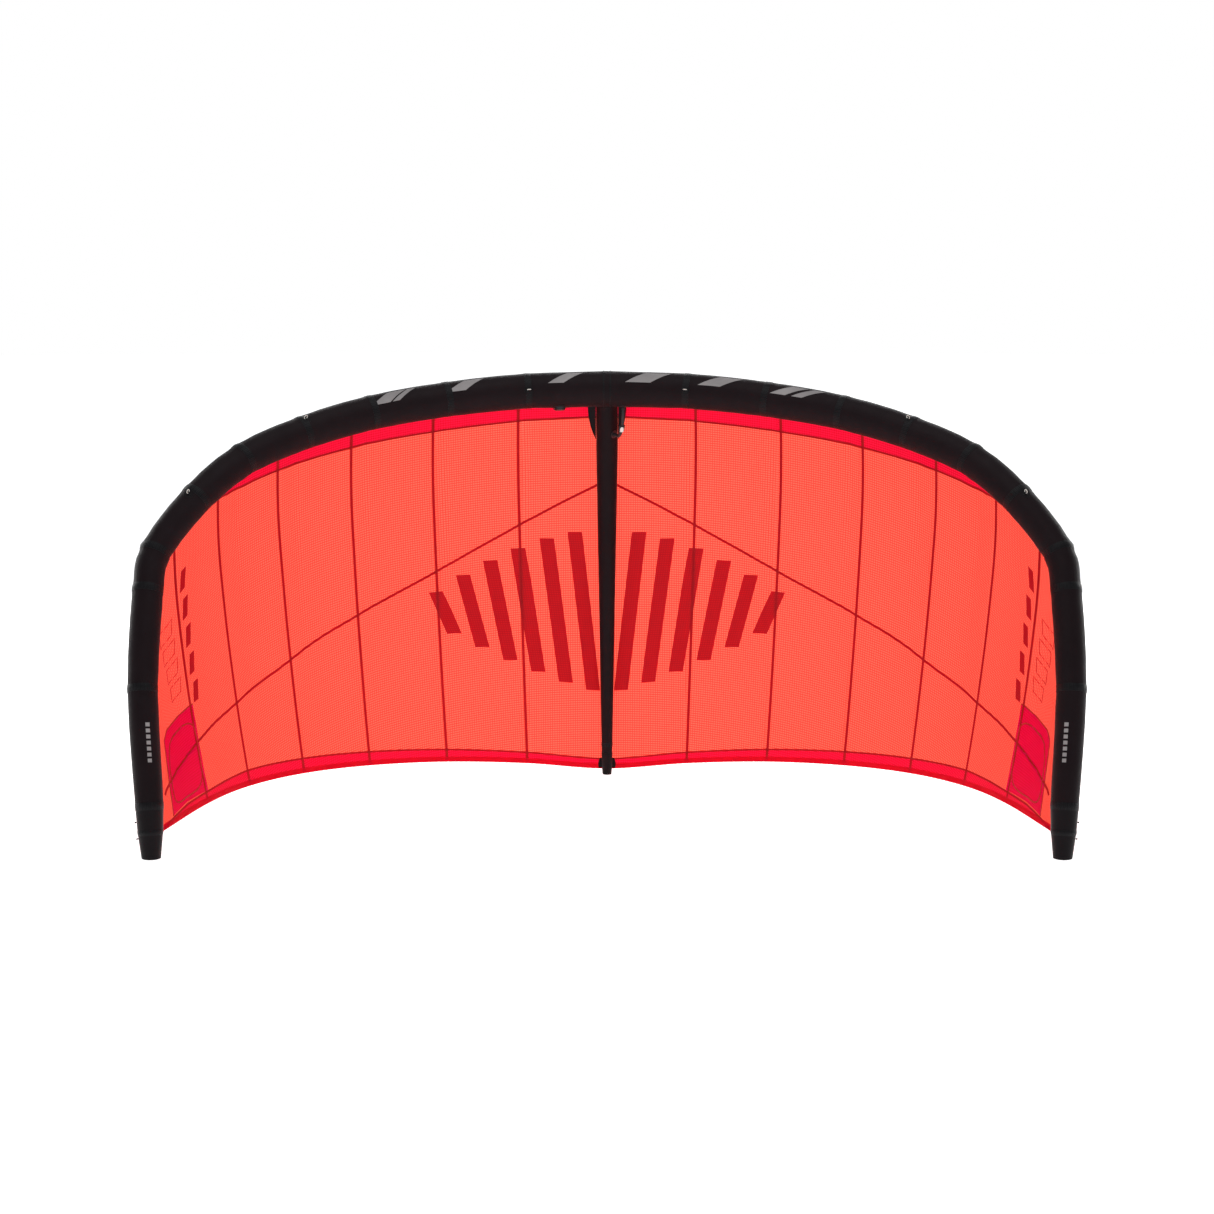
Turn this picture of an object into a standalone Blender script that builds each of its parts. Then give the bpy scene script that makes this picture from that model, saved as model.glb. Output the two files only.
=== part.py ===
"""A 9 square metre inflatable kitesurf kite with one centre strut.

It stands on its two wingtips and on the tail of its strut, leading edge up.
Metres, +Z up, +X along the span, and -Y is the hollow side that faces the rider.
The origin is on the ground, at the middle of the kite's footprint.
"""

import math

import bmesh
import bpy
from mathutils import Matrix, Vector

# Leading edge tube, from the centre to the right wingtip, one row for each sewn joint between its
# straight segments: across, back, up, and the tube's radius there. The last row is the flat foot.
LEADING_EDGE = (
    (0.000, 0.506, 1.947, 0.0833),
    (0.380, 0.480, 1.938, 0.0827),
    (0.756, 0.398, 1.903, 0.0814),
    (1.100, 0.262, 1.849, 0.0796),
    (1.399, 0.097, 1.766, 0.0765),
    (1.649, -0.098, 1.660, 0.0735),
    (1.833, -0.287, 1.500, 0.0704),
    (1.994, -0.446, 1.280, 0.0686),
    (2.015, -0.533, 1.118, 0.0674),
    (2.015, -0.712, 0.709, 0.0649),
    (1.972, -0.848, 0.220, 0.0600),
    (1.967, -0.867, 0.110, 0.0539),
    (1.963, -0.882, 0.000, 0.0410),
)
# Trailing edge, one row for each chordwise seam from the centre to the wingtip: across, back, up.
TRAILING_EDGE = (
    (0.000, 0.895, 0.024),
    (0.399, 0.856, 0.059),
    (0.792, 0.734, 0.092),
    (1.156, 0.543, 0.113),
    (1.449, 0.315, 0.122),
    (1.667, 0.032, 0.122),
    (1.805, -0.326, 0.119),
    (1.942, -0.811, 0.091),
)
# Where each chordwise seam meets the leading edge, counted in the joints of the table above.
SEAM_STATIONS = (0.0, 1.08, 2.12, 3.20, 4.30, 5.40, 6.45, 10.60)
PANELS = len(SEAM_STATIONS) - 1
LAST_FULL_SEAM = PANELS - 1

TUBE_SIDES = 20
CASING_WALL = 0.001
BLADDER_WALL = 0.0006
BLADDER_INSET = 0.0028
TIP_CAP_WALL = 0.0015
JOINT_GAP = 0.0003
CAP_STATION = 10
BLADDER_END_STATION = 11

CANOPY_THICKNESS = 0.001
CANOPY_CLEARANCE = 0.002
CAMBER = 0.035
CAMBER_PEAK = 0.30
ATTACH_ANGLE_CENTRE = math.radians(15)
ATTACH_ANGLE_TIP = math.radians(70)
PANEL_ROWS = (0.0, 0.04, 0.10, 0.18, 0.30, 0.44, 0.60, 0.78, 1.0)
PANEL_COLUMNS = 3
SEAM_GAP = 0.0012
HEM_WIDTH = 0.024
HEM_THICKNESS = 0.0018

STRUT_RADIUS = 0.0524
STRUT_TAIL_RADIUS = 0.0251
STRUT_TAPER_START = 0.15
STRUT_START = 0.012
STRUT_BLADDER_START = 0.067
STRUT_CASING_END = 0.955
SADDLE_GAP = 0.003
TAIL_GAP = 0.0008
STRUT_PORT_CHORD = 0.105
# Parts of the chord at which the strut's sections stand.
STRUT_SECTIONS = (0.06, STRUT_PORT_CHORD, 0.15, 0.25, 0.37, 0.50, 0.65, 0.80)
STRUT_CLEARANCE = 0.0038
FOOT_RADIUS = 0.021
HEEL_CHORD = 0.985
HEEL_REACH = 0.027
HEEL_HEIGHT = 0.005
HEEL_FLARE = 0.0025
GUSSET_CHORD = 0.085
GUSSET_HALF_SPREAD = 0.037
GUSSET_CLEARANCE = 0.004
GUSSET_WIDTH = 0.037
GUSSET_LENGTH = 0.190
GUSSET_BULGE = 2.4
GUSSET_THICKNESS = 0.0016

VALVE_STATION = 0.60
VALVE_LEAN = math.radians(20)
VALVE_FLANGE_RADIUS = 0.030
VALVE_FLANGE_TOP = 0.003
VALVE_FLANGE_BOTTOM = -0.0065
VALVE_NECK_RADIUS = 0.019
VALVE_NECK_TOP = 0.011
VALVE_NECK_WALL = 0.006
VALVE_BORE_RADIUS = 0.0115
VALVE_COLLAR_WALL = 0.003
VALVE_COLLAR_TOP = 0.0022
VALVE_COLLAR_BOTTOM = -0.014
VALVE_HOLE_RADIUS = 0.0160
CAP_RADIUS = 0.0255
CAP_TOP = 0.0145
CAP_SKIRT = 0.0036
CAP_SIDES = 32
CAP_ROUNDING = ((0.005, 0.0), (0.001, 0.0016), (0.0, 0.004))
CAP_CEILING = 0.0004
# The cap's skirt swings past the neck, so it stands off it by more than it needs when shut.
CAP_CLEARANCE = 0.0017
CAP_HINGE = (0.0300, 0.0085)
CAP_EAR_GAP = 0.0070
CAP_EAR_HEIGHT = 0.0092
# The flap seats on the lower rim of the collar, so it opens clear of the bore.
FLAP_RADIUS = 0.0130
FLAP_LEVEL = -0.0150
FLAP_THICKNESS = 0.0012

HOSE_RADIUS = 0.0075
HOSE_BORE = 0.0052
HOSE_POINTS = 12
HOSE_SIDES = 12
HOSE_STRAIGHT = 0.024
HOSE_PULL = 0.038
HOSE_END = 0.0046
PORT_STATION = 0.205
PORT_FLANGE_RADIUS = 0.0195
PORT_NOZZLE_RADIUS = 0.0044
PORT_NOZZLE_TOP = 0.021
PORT_SHOULDER_TOP = 0.004
PORT_FLANGE_TOP = 0.002
PORT_FLANGE_BOTTOM = 0.0006
PORT_HOLE_RADIUS = 0.0070
PORT_TURN = math.radians(50)
CLIP_SIZE = (0.023, 0.0245, 0.0185)
CLIP_BORE = 0.0089
CLIP_LEVER = (0.0205, 0.0165, 0.0036)
CLIP_LEVER_START = 0.0045
CLIP_LEVER_BEVEL = 0.0008
CLIP_HINGE_INSET = 0.0036
CLIP_HINGE_RISE = 0.0040
CLIP_EAR_GAP = 0.0120
CLIP_EAR_HEIGHT = 0.0072

# Bridle loops: station along the leading edge, and the angle from straight at the rider towards up.
BRIDLE_LOOPS = ((1.00, math.radians(18)), (3.97, math.radians(64)), (6.10, math.radians(66)))
LOOP_RADIUS = 0.0095
LOOP_CORD_RADIUS = 0.0018
LOOP_STANDOFF = 0.0030
# Steering pigtails on the outer side of each wingtip: station along the leading edge.
PIGTAILS = (("upper", 10.60), ("lower", 11.26))
PIGTAIL_STEM = 0.0065
PIGTAIL_CORD_RADIUS = 0.0021
KNOT_RADIUS = 0.0050

PIN_RADIUS = 0.0010
PIN_CLEARANCE = 0.0004
EAR_LENGTH = 0.0036
EAR_WIDTH = 0.0022
EAR_OVER_PIN = 0.0018
KNUCKLE_RADIUS = 0.0017
KNUCKLE_SIDE_GAP = 0.0005
# How far a knuckle's root reaches into the piece that it carries.
KNUCKLE_OVERLAP = 0.001
# Length of the cutters that bore right through a wall.
CUTTER_LENGTH = 0.05
SADDLE_LENGTH = 0.2

SIDES = (("left", -1), ("right", 1))
LOOKS = {
    "dacron": ((0.022, 0.020, 0.024), 0.62),
    "bladder": ((0.80, 0.82, 0.78), 0.35),
    "ripstop": ((0.95, 0.12, 0.06), 0.55),
    "hem": ((0.80, 0.01, 0.06), 0.55),
    "valve": ((0.030, 0.030, 0.034), 0.42),
    "hose": ((0.050, 0.050, 0.055), 0.45),
    "clip": ((0.75, 0.75, 0.74), 0.40),
    "cord": ((0.70, 0.69, 0.66), 0.80),
    "dark_cord": ((0.030, 0.030, 0.032), 0.80),
}


def clear_scene():
    for item in list(bpy.data.objects):
        bpy.data.objects.remove(item, do_unlink=True)


def new_collection(name):
    collection = bpy.data.collections.new(name)
    bpy.context.scene.collection.children.link(collection)
    return collection


def make_material(name):
    colour, roughness = LOOKS[name]
    material = bpy.data.materials.new(name)
    material.use_nodes = True
    shader = material.node_tree.nodes["Principled BSDF"]
    shader.inputs["Base Color"].default_value = (*colour, 1.0)
    shader.inputs["Roughness"].default_value = roughness
    shader.inputs["Metallic"].default_value = 0.0
    return material


def add_object(name, bm, look, matrix=None):
    """Turns a bmesh into a named part with its own material."""
    mesh = bpy.data.meshes.new(name)
    bm.to_mesh(mesh)
    bm.free()
    part = bpy.data.objects.new(name, mesh)
    part.matrix_world = matrix or Matrix.Identity(4)
    mesh.shade_smooth()
    if mesh.polygons:
        mesh.set_sharp_from_angle(angle=math.radians(35))
    if look:
        mesh.materials.append(make_material(look))
        PARTS.objects.link(part)
    else:
        part.hide_render = True
        part.display_type = "WIRE"
        CUTTERS.objects.link(part)
    return part


def solidify(part, thickness, offset):
    modifier = part.modifiers.new("wall", "SOLIDIFY")
    modifier.thickness = thickness
    modifier.offset = offset
    modifier.use_even_offset = True


def boolean(part, operation, other):
    modifier = part.modifiers.new(operation.lower(), "BOOLEAN")
    modifier.operation = operation
    modifier.solver = "EXACT"
    modifier.object = other


def local_frame(origin, z_axis, x_hint):
    """Matrix with local Z along z_axis, and local X as near x_hint as it can be."""
    z = Vector(z_axis).normalized()
    x = Vector(x_hint)
    x = (x - z * x.dot(z)).normalized()
    axes = Matrix((x, z.cross(x), z)).transposed()
    return Matrix.Translation(origin) @ axes.to_4x4()


def loft(name, rings, look, close_start=False, close_end=False):
    """Surface through rings that hold the same number of points."""
    bm = bmesh.new()
    loops = [[bm.verts.new(point) for point in ring] for ring in rings]
    count = len(loops[0])
    for near, far in zip(loops, loops[1:]):
        for here in range(count):
            after = (here + 1) % count
            bm.faces.new((near[here], near[after], far[after], far[here]))
    if close_start:
        bm.faces.new(loops[0])
    if close_end:
        bm.faces.new(loops[-1])
    bmesh.ops.recalc_face_normals(bm, faces=bm.faces)
    return add_object(name, bm, look)


def turned(name, profile, look, matrix, steps=24, closed=False):
    """Part turned about local Z from (radius, height) points that run down the outer side."""
    bm = bmesh.new()
    points = [bm.verts.new((radius, 0.0, height)) for radius, height in profile]
    for upper, lower in zip(points, points[1:]):
        bm.edges.new((upper, lower))
    if closed:
        bm.edges.new((points[-1], points[0]))
    part = add_object(name, bm, look, matrix)
    screw = part.modifiers.new("turn", "SCREW")
    screw.steps = steps
    screw.render_steps = steps
    screw.use_merge_vertices = True
    screw.merge_threshold = 0.00001
    screw.use_smooth_shade = True
    return part


def box(name, size, centre, look, matrix):
    bm = bmesh.new()
    bmesh.ops.create_cube(bm, size=1.0)
    bmesh.ops.scale(bm, vec=size, verts=bm.verts)
    bmesh.ops.translate(bm, vec=centre, verts=bm.verts)
    return add_object(name, bm, look, matrix)


def rod(name, radius, length, centre, turn, look, matrix, sides=16):
    """Cylinder about its local Z, turned by a matrix and moved to centre."""
    bm = bmesh.new()
    bmesh.ops.create_cone(
        bm, cap_ends=True, segments=sides, radius1=radius, radius2=radius, depth=length
    )
    bmesh.ops.transform(bm, matrix=Matrix.Translation(centre) @ turn, verts=bm.verts)
    return add_object(name, bm, look, matrix)


# ---------------------------------------------------------------- lines of the kite


def station_centre(station):
    return Vector(LEADING_EDGE[station][:3])


def station_normal(station):
    """Normal of the plane in which two segments meet: it halves the angle between them."""
    if station == 0:
        return Vector((1.0, 0.0, 0.0))
    if station == len(LEADING_EDGE) - 1:
        return Vector((0.0, 0.0, -1.0))
    before = (station_centre(station) - station_centre(station - 1)).normalized()
    after = (station_centre(station + 1) - station_centre(station)).normalized()
    return (before + after).normalized()


def trailing_point(u):
    """Point on the smooth trailing edge, u counted in chordwise seams from the centre."""
    if u < 0:
        return mirrored(trailing_point(-u), -1)
    rows = [Vector(row) for row in TRAILING_EDGE]
    rows = [mirrored(rows[1], -1)] + rows + [rows[-1] * 2 - rows[-2]]
    index = min(int(u), len(TRAILING_EDGE) - 2)
    part = u - index
    a, b, c, d = rows[index : index + 4]
    straight = (c - a) * part
    bend = (a * 2 - b * 5 + c * 4 - d) * part**2
    twist = (b * 3 - a - c * 3 + d) * part**3
    return (b * 2 + straight + bend + twist) / 2


def station_at(u):
    """Place along the leading edge, in joints, of the chord at u seams from the centre."""
    index = min(int(u), PANELS - 1)
    start, end = SEAM_STATIONS[index : index + 2]
    return start + (end - start) * (u - index)


def seam_at(station):
    """The opposite of station_at."""
    for index, (start, end) in enumerate(zip(SEAM_STATIONS, SEAM_STATIONS[1:])):
        if station <= end:
            return index + (station - start) / (end - start)
    return float(PANELS)


def section_axes(station):
    """Aft and outward unit vectors of the tube's section at a joint."""
    normal = station_normal(station)
    target = trailing_point(min(seam_at(station), LAST_FULL_SEAM))
    aft = target - station_centre(station)
    aft = (aft - normal * aft.dot(normal)).normalized()
    return aft, normal.cross(aft)


def tube_point(station, angle, growth=0.0):
    """Point on the tube, also between joints; angle runs from outward, 0, to aft, a quarter turn."""
    if station < 0:
        return mirrored(tube_point(-station, angle, growth), -1)
    low = min(int(station), len(LEADING_EDGE) - 2)
    ends = []
    for index in (low, low + 1):
        aft, outward = section_axes(index)
        arm = outward * math.cos(angle) + aft * math.sin(angle)
        ends.append(station_centre(index) + arm * (LEADING_EDGE[index][3] + growth))
    return ends[0].lerp(ends[1], station - low)


def mirrored(point, sign):
    return Vector((point.x * sign, point.y, point.z))


def tube_ring(station, sign, inset=0.0, along=0.0):
    """Ring of points on the tube at a joint, moved along the tube by a small gap."""
    steps = range(TUBE_SIDES)
    shift = station_normal(station) * along
    ring = [tube_point(station, math.tau * step / TUBE_SIDES, -inset) for step in steps]
    return [mirrored(point + shift, sign) for point in ring]


def attach_point(station):
    """Where the canopy meets the tube: near the top at the centre, and aft at the wingtips."""
    part = abs(station) / SEAM_STATIONS[-1]
    angle = ATTACH_ANGLE_CENTRE + (ATTACH_ANGLE_TIP - ATTACH_ANGLE_CENTRE) * part**2
    return tube_point(station, angle, CANOPY_CLEARANCE)


def camber_height(t):
    """Height of the canopy's profile over its chord, as a part of the chord."""
    if t < CAMBER_PEAK:
        return CAMBER * (2 * CAMBER_PEAK * t - t * t) / CAMBER_PEAK**2
    rear = 1 - CAMBER_PEAK
    return CAMBER * (1 - 2 * CAMBER_PEAK + 2 * CAMBER_PEAK * t - t * t) / rear**2


def canopy_normal(u, t):
    """Outward unit normal of the canopy on the chord at u."""
    station = station_at(u)
    front = attach_point(station + 0.04) - attach_point(station - 0.04)
    rear = trailing_point(u + 0.04) - trailing_point(u - 0.04)
    span = front.normalized().lerp(rear.normalized(), t)
    chord = trailing_point(u) - attach_point(station)
    return span.cross(chord).normalized()


def canopy_point(u, t):
    """Point on the canopy: u in seams from the centre, t from the leading to the trailing edge."""
    start = attach_point(station_at(u))
    chord = trailing_point(u) - start
    rise = canopy_normal(u, t) * chord.length * camber_height(t)
    return start + chord * t + rise


def hem_start(u):
    """The part of the chord at which the hem begins."""
    chord = trailing_point(u) - attach_point(station_at(u))
    return 1 - HEM_WIDTH / chord.length


# ---------------------------------------------------------------- soft shells


def make_leading_edge():
    centre_rings = [
        tube_ring(1, -1, along=-JOINT_GAP),
        tube_ring(0, 1),
        tube_ring(1, 1, along=-JOINT_GAP),
    ]
    centre = loft("le_segment_centre", centre_rings, "dacron")
    solidify(centre, CASING_WALL, -1)
    for side, sign in SIDES:
        for station in range(1, CAP_STATION):
            rings = [
                tube_ring(station, sign, along=JOINT_GAP),
                tube_ring(station + 1, sign, along=-JOINT_GAP),
            ]
            segment = loft(f"le_segment_{station}_{side}", rings, "dacron")
            solidify(segment, CASING_WALL, -1)
    return centre


def make_wingtip_caps():
    last = len(LEADING_EDGE) - 1
    for side, sign in SIDES:
        rings = [tube_ring(CAP_STATION, sign, along=JOINT_GAP)]
        rings += [tube_ring(station, sign) for station in range(CAP_STATION + 1, last + 1)]
        cap = loft(f"wingtip_cap_{side}", rings, "dacron", close_end=True)
        solidify(cap, TIP_CAP_WALL, -1)


def make_leading_edge_bladder():
    stations = range(BLADDER_END_STATION, 0, -1)
    rings = [tube_ring(station, -1, BLADDER_INSET) for station in stations]
    rings += [tube_ring(station, 1, BLADDER_INSET) for station in range(BLADDER_END_STATION + 1)]
    bladder = loft("leading_edge_bladder", rings, "bladder", close_start=True, close_end=True)
    solidify(bladder, BLADDER_WALL, -1)
    return bladder


def panel_columns(index):
    """The chords that shape one panel: evenly spread ones, and one at each joint of the tube."""
    first = index + SEAM_GAP
    last = index + 1 - SEAM_GAP
    columns = [first + (last - first) * step / PANEL_COLUMNS for step in range(PANEL_COLUMNS + 1)]
    joints = [seam_at(station) for station in range(1, int(SEAM_STATIONS[-1]) + 1)]
    columns += [u for u in joints if first + 0.03 < u < last - 0.03]
    return sorted(columns)


def sheet(name, columns, rows_of, thickness, look, sign=1):
    """Sheet over a grid of canopy points; rows_of gives the chord parts for each column."""
    bm = bmesh.new()
    grid = []
    for u in columns:
        points = [canopy_point(abs(u), t) for t in rows_of(abs(u))]
        flip = sign if u >= 0 else -sign
        grid.append([bm.verts.new(mirrored(point, flip)) for point in points])
    for near, far in zip(grid, grid[1:]):
        for row in range(len(near) - 1):
            bm.faces.new((near[row], far[row], far[row + 1], near[row + 1]))
    part = add_object(name, bm, look)
    solidify(part, thickness, 0)
    return part


def make_canopy():
    def rows_of(u):
        return [t * (hem_start(u) - SEAM_GAP) for t in PANEL_ROWS]

    for side, sign in SIDES:
        for index in range(PANELS):
            name = f"canopy_panel_{index + 1}_{side}"
            sheet(name, panel_columns(index), rows_of, CANOPY_THICKNESS, "ripstop", sign)


def make_hem():
    half = [u for index in range(PANELS) for u in panel_columns(index)[:-1]][1:] + [float(PANELS)]
    columns = [-u for u in reversed(half)] + [0.0] + half
    sheet("trailing_edge_hem", columns, lambda u: (hem_start(u), 1.0), HEM_THICKNESS, "hem")


# ---------------------------------------------------------------- centre strut


def strut_radius(t):
    if t < STRUT_TAPER_START:
        return STRUT_RADIUS
    part = (t - STRUT_TAPER_START) / (1 - STRUT_TAPER_START)
    return STRUT_RADIUS + (STRUT_TAIL_RADIUS - STRUT_RADIUS) * part


def strut_centre(t):
    """The strut hangs under the canopy's centre line, on the hollow side."""
    drop = strut_radius(t) + STRUT_CLEARANCE
    return canopy_point(0.0, t) - canopy_normal(0.0, t) * drop


def strut_axis(t):
    return (strut_centre(t + 0.01) - strut_centre(t - 0.01)).normalized()


def strut_ring(t, inset=0.0):
    across = Vector((1.0, 0.0, 0.0))
    depth = strut_axis(t).cross(across)
    radius = strut_radius(t) - inset
    angles = [math.tau * step / TUBE_SIDES for step in range(TUBE_SIDES)]
    return [
        strut_centre(t) + (across * math.cos(angle) + depth * math.sin(angle)) * radius
        for angle in angles
    ]


def spread(start, end, count):
    return [start + (end - start) * step / (count - 1) for step in range(count)]


def make_strut():
    sections = (STRUT_START, *STRUT_SECTIONS, STRUT_CASING_END)
    rings = [strut_ring(t) for t in sections]
    casing = loft("strut_casing", rings, "dacron")
    solidify(casing, CASING_WALL, -1)
    centre = station_centre(0)
    saddle = local_frame(centre, (1.0, 0.0, 0.0), (0.0, 0.0, 1.0))
    radius = LEADING_EDGE[0][3] + SADDLE_GAP
    cutter = rod("strut_mouth_cutter", radius, SADDLE_LENGTH, (0, 0, 0), Matrix(), None, saddle, 48)
    boolean(casing, "DIFFERENCE", cutter)
    return casing


def make_strut_bladder():
    sections = (STRUT_BLADDER_START, *STRUT_SECTIONS[1:], STRUT_CASING_END)
    rings = [strut_ring(t, BLADDER_INSET) for t in sections]
    bladder = loft("strut_bladder", rings, "bladder", close_start=True, close_end=True)
    solidify(bladder, BLADDER_WALL, -1)
    return bladder


def make_strut_tail():
    """Closed tail of the strut, cut level with the ground for the kite to stand on."""
    neck = strut_ring(STRUT_CASING_END + TAIL_GAP)
    waist = strut_ring(HEEL_CHORD)
    angles = [math.tau * step / TUBE_SIDES for step in range(TUBE_SIDES)]
    heel = strut_centre(HEEL_CHORD) + strut_axis(HEEL_CHORD) * HEEL_REACH
    foot = Vector((0.0, heel.y, 0.0))
    rise = Vector((0.0, 0.0, HEEL_HEIGHT))
    arms = [Vector((math.cos(angle), -math.sin(angle), 0.0)) for angle in angles]
    middle = [foot + rise + arm * (FOOT_RADIUS + HEEL_FLARE) for arm in arms]
    ground = [foot + arm * FOOT_RADIUS for arm in arms]
    tail = loft("strut_tail_cap", [neck, waist, middle, ground], "dacron", close_end=True)
    solidify(tail, TIP_CAP_WALL, -1)


def make_gussets():
    """Fabric webs that brace the strut against the leading edge, one on each side."""
    level = strut_centre(GUSSET_CHORD)
    axis = strut_axis(GUSSET_CHORD)
    centre = station_centre(0)
    reach = math.sqrt((LEADING_EDGE[0][3] + GUSSET_CLEARANCE) ** 2 - GUSSET_HALF_SPREAD**2)
    start = level + axis * (reach - (level - centre).dot(axis))
    for side, sign in SIDES:
        outline = bpy.data.curves.new(f"strut_gusset_{side}", "CURVE")
        outline.dimensions = "2D"
        outline.fill_mode = "BOTH"
        outline.extrude = GUSSET_THICKNESS / 2
        spline = outline.splines.new("POLY")
        inner = STRUT_RADIUS + 3 * JOINT_GAP
        corners = [(inner, 0.0), (inner + GUSSET_WIDTH, 0.0)]
        corners += [
            (inner + GUSSET_WIDTH * (1 - part**GUSSET_BULGE), GUSSET_LENGTH * part)
            for part in (0.2, 0.4, 0.6, 0.8)
        ]
        corners.append((inner, GUSSET_LENGTH))
        spline.points.add(len(corners) - 1)
        for point, (across, along) in zip(spline.points, corners):
            point.co = (across * sign, along, 0.0, 1.0)
        spline.use_cyclic_u = True
        gusset = bpy.data.objects.new(f"strut_gusset_{side}", outline)
        gusset.matrix_world = local_frame(start, Vector((1, 0, 0)).cross(axis), (1.0, 0.0, 0.0))
        outline.materials.append(make_material("dacron"))
        PARTS.objects.link(gusset)


# ---------------------------------------------------------------- valve, hose and clip


def surface_frame(station, lean, sign):
    """Frame on the tube: Z out of the surface, leaning from aft towards the rider, X along it."""
    angle = math.pi / 2 + lean
    origin = mirrored(tube_point(station, angle), sign)
    out = origin - mirrored(tube_point(station, angle, -0.01), sign)
    along = mirrored(tube_point(station + 0.1, angle) - tube_point(station - 0.1, angle), sign)
    return local_frame(origin, out, along)


def add_hinge_ears(part, matrix, place, gap, height):
    """Two ears and a pin across them, joined to a part, for a knuckle that is gap wide."""
    offset, level = place
    for sign in (-1, 1):
        centre = (offset, sign * (gap + EAR_WIDTH) / 2, level + EAR_OVER_PIN - height / 2)
        size = (EAR_LENGTH, EAR_WIDTH, height)
        block = box(f"{part.name}_ear_{sign}", size, centre, None, matrix)
        boolean(part, "UNION", block)
    turn = Matrix.Rotation(math.pi / 2, 4, "X")
    centre = (offset, 0.0, level)
    pin = rod(f"{part.name}_pin", PIN_RADIUS, gap + EAR_WIDTH, centre, turn, None, matrix, 12)
    boolean(part, "UNION", pin)


def add_knuckle(part, matrix, gap, reach):
    """Knuckle about the part's own origin, bored for the pin; reach is how far it runs along X."""
    width = gap - 2 * KNUCKLE_SIDE_GAP
    size = (abs(reach), width, 2 * KNUCKLE_RADIUS)
    block = box(f"{part.name}_knuckle", size, (reach / 2, 0, 0), None, matrix)
    turn = Matrix.Rotation(math.pi / 2, 4, "X")
    end = rod(f"{part.name}_barrel", KNUCKLE_RADIUS, width, (0, 0, 0), turn, None, matrix, 16)
    boolean(part, "UNION", block)
    boolean(part, "UNION", end)
    radius = PIN_RADIUS + PIN_CLEARANCE
    bore = rod(f"{part.name}_bore", radius, 2 * width, (0, 0, 0), turn, None, matrix, 16)
    boolean(part, "DIFFERENCE", bore)


def make_valve(casing, bladder):
    matrix = surface_frame(VALVE_STATION, VALVE_LEAN, -1)
    inner = VALVE_NECK_RADIUS - VALVE_NECK_WALL
    profile = (
        (VALVE_NECK_RADIUS, VALVE_NECK_TOP),
        (VALVE_NECK_RADIUS, VALVE_FLANGE_TOP),
        (VALVE_FLANGE_RADIUS, VALVE_FLANGE_TOP),
        (VALVE_FLANGE_RADIUS, VALVE_FLANGE_BOTTOM),
        (inner, VALVE_FLANGE_BOTTOM),
        (inner, VALVE_NECK_TOP),
    )
    body = turned("inflation_valve_body", profile, "valve", matrix, 32, closed=True)
    tube_radius = LEADING_EDGE[0][3] + 3 * JOINT_GAP
    centre = (0.0, 0.0, -LEADING_EDGE[0][3])
    turn = Matrix.Rotation(math.pi / 2, 4, "Y")
    saddle = rod("valve_saddle_cutter", tube_radius, SADDLE_LENGTH, centre, turn, None, matrix, 96)
    boolean(body, "DIFFERENCE", saddle)
    collar_profile = (
        (VALVE_BORE_RADIUS + VALVE_COLLAR_WALL, VALVE_COLLAR_TOP),
        (VALVE_BORE_RADIUS + VALVE_COLLAR_WALL, VALVE_COLLAR_BOTTOM),
        (VALVE_BORE_RADIUS, VALVE_COLLAR_BOTTOM),
        (VALVE_BORE_RADIUS, VALVE_COLLAR_TOP),
    )
    collar = turned("valve_collar", collar_profile, None, matrix, 32, closed=True)
    boolean(body, "UNION", collar)
    add_hinge_ears(body, matrix, CAP_HINGE, CAP_EAR_GAP, CAP_EAR_HEIGHT)
    hole = rod("valve_hole", VALVE_HOLE_RADIUS, CUTTER_LENGTH, (0, 0, 0), Matrix(), None, matrix, 24)
    boolean(casing, "DIFFERENCE", hole)
    boolean(bladder, "DIFFERENCE", hole)
    make_valve_cap(matrix)
    make_valve_flap(matrix)


def make_valve_cap(matrix):
    """Cap over the valve's neck, hinged at its edge; its origin is on the hinge pin."""
    offset, level = CAP_HINGE
    hinge = matrix @ Matrix.Translation((offset, 0.0, level))
    inner = VALVE_NECK_RADIUS + CAP_CLEARANCE
    ceiling = VALVE_NECK_TOP + CAP_CEILING
    axis_to_cap = Matrix.Translation((-offset, 0.0, -level))
    bm = bmesh.new()
    rounding = [(CAP_RADIUS - inset, CAP_TOP - drop) for inset, drop in CAP_ROUNDING]
    skirt = [(CAP_RADIUS, CAP_SKIRT), (inner, CAP_SKIRT), (inner, ceiling), (0.0, ceiling)]
    profile = [(0.0, CAP_TOP), *rounding, *skirt]
    points = [bm.verts.new((radius, 0.0, height)) for radius, height in profile]
    for upper, lower in zip(points, points[1:]):
        bm.edges.new((upper, lower))
    bmesh.ops.spin(
        bm, geom=bm.verts[:] + bm.edges[:], axis=(0, 0, 1), cent=(0, 0, 0), steps=CAP_SIDES, angle=math.tau
    )
    bmesh.ops.remove_doubles(bm, verts=bm.verts, dist=0.00001)
    bmesh.ops.recalc_face_normals(bm, faces=bm.faces)
    bmesh.ops.transform(bm, matrix=axis_to_cap, verts=bm.verts)
    cap = add_object("inflation_valve_cap", bm, "valve", hinge)
    add_knuckle(cap, hinge, CAP_EAR_GAP, CAP_RADIUS - KNUCKLE_OVERLAP - offset)


def make_valve_flap(matrix):
    """Rubber disc that shuts the valve from inside; its origin is on the edge it bends about."""
    hinge = matrix @ Matrix.Translation((-FLAP_RADIUS, 0.0, FLAP_LEVEL))
    name = "inflation_valve_flap"
    rod(name, FLAP_RADIUS, FLAP_THICKNESS, (FLAP_RADIUS, 0, 0), Matrix(), "valve", hinge, 24)


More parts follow.
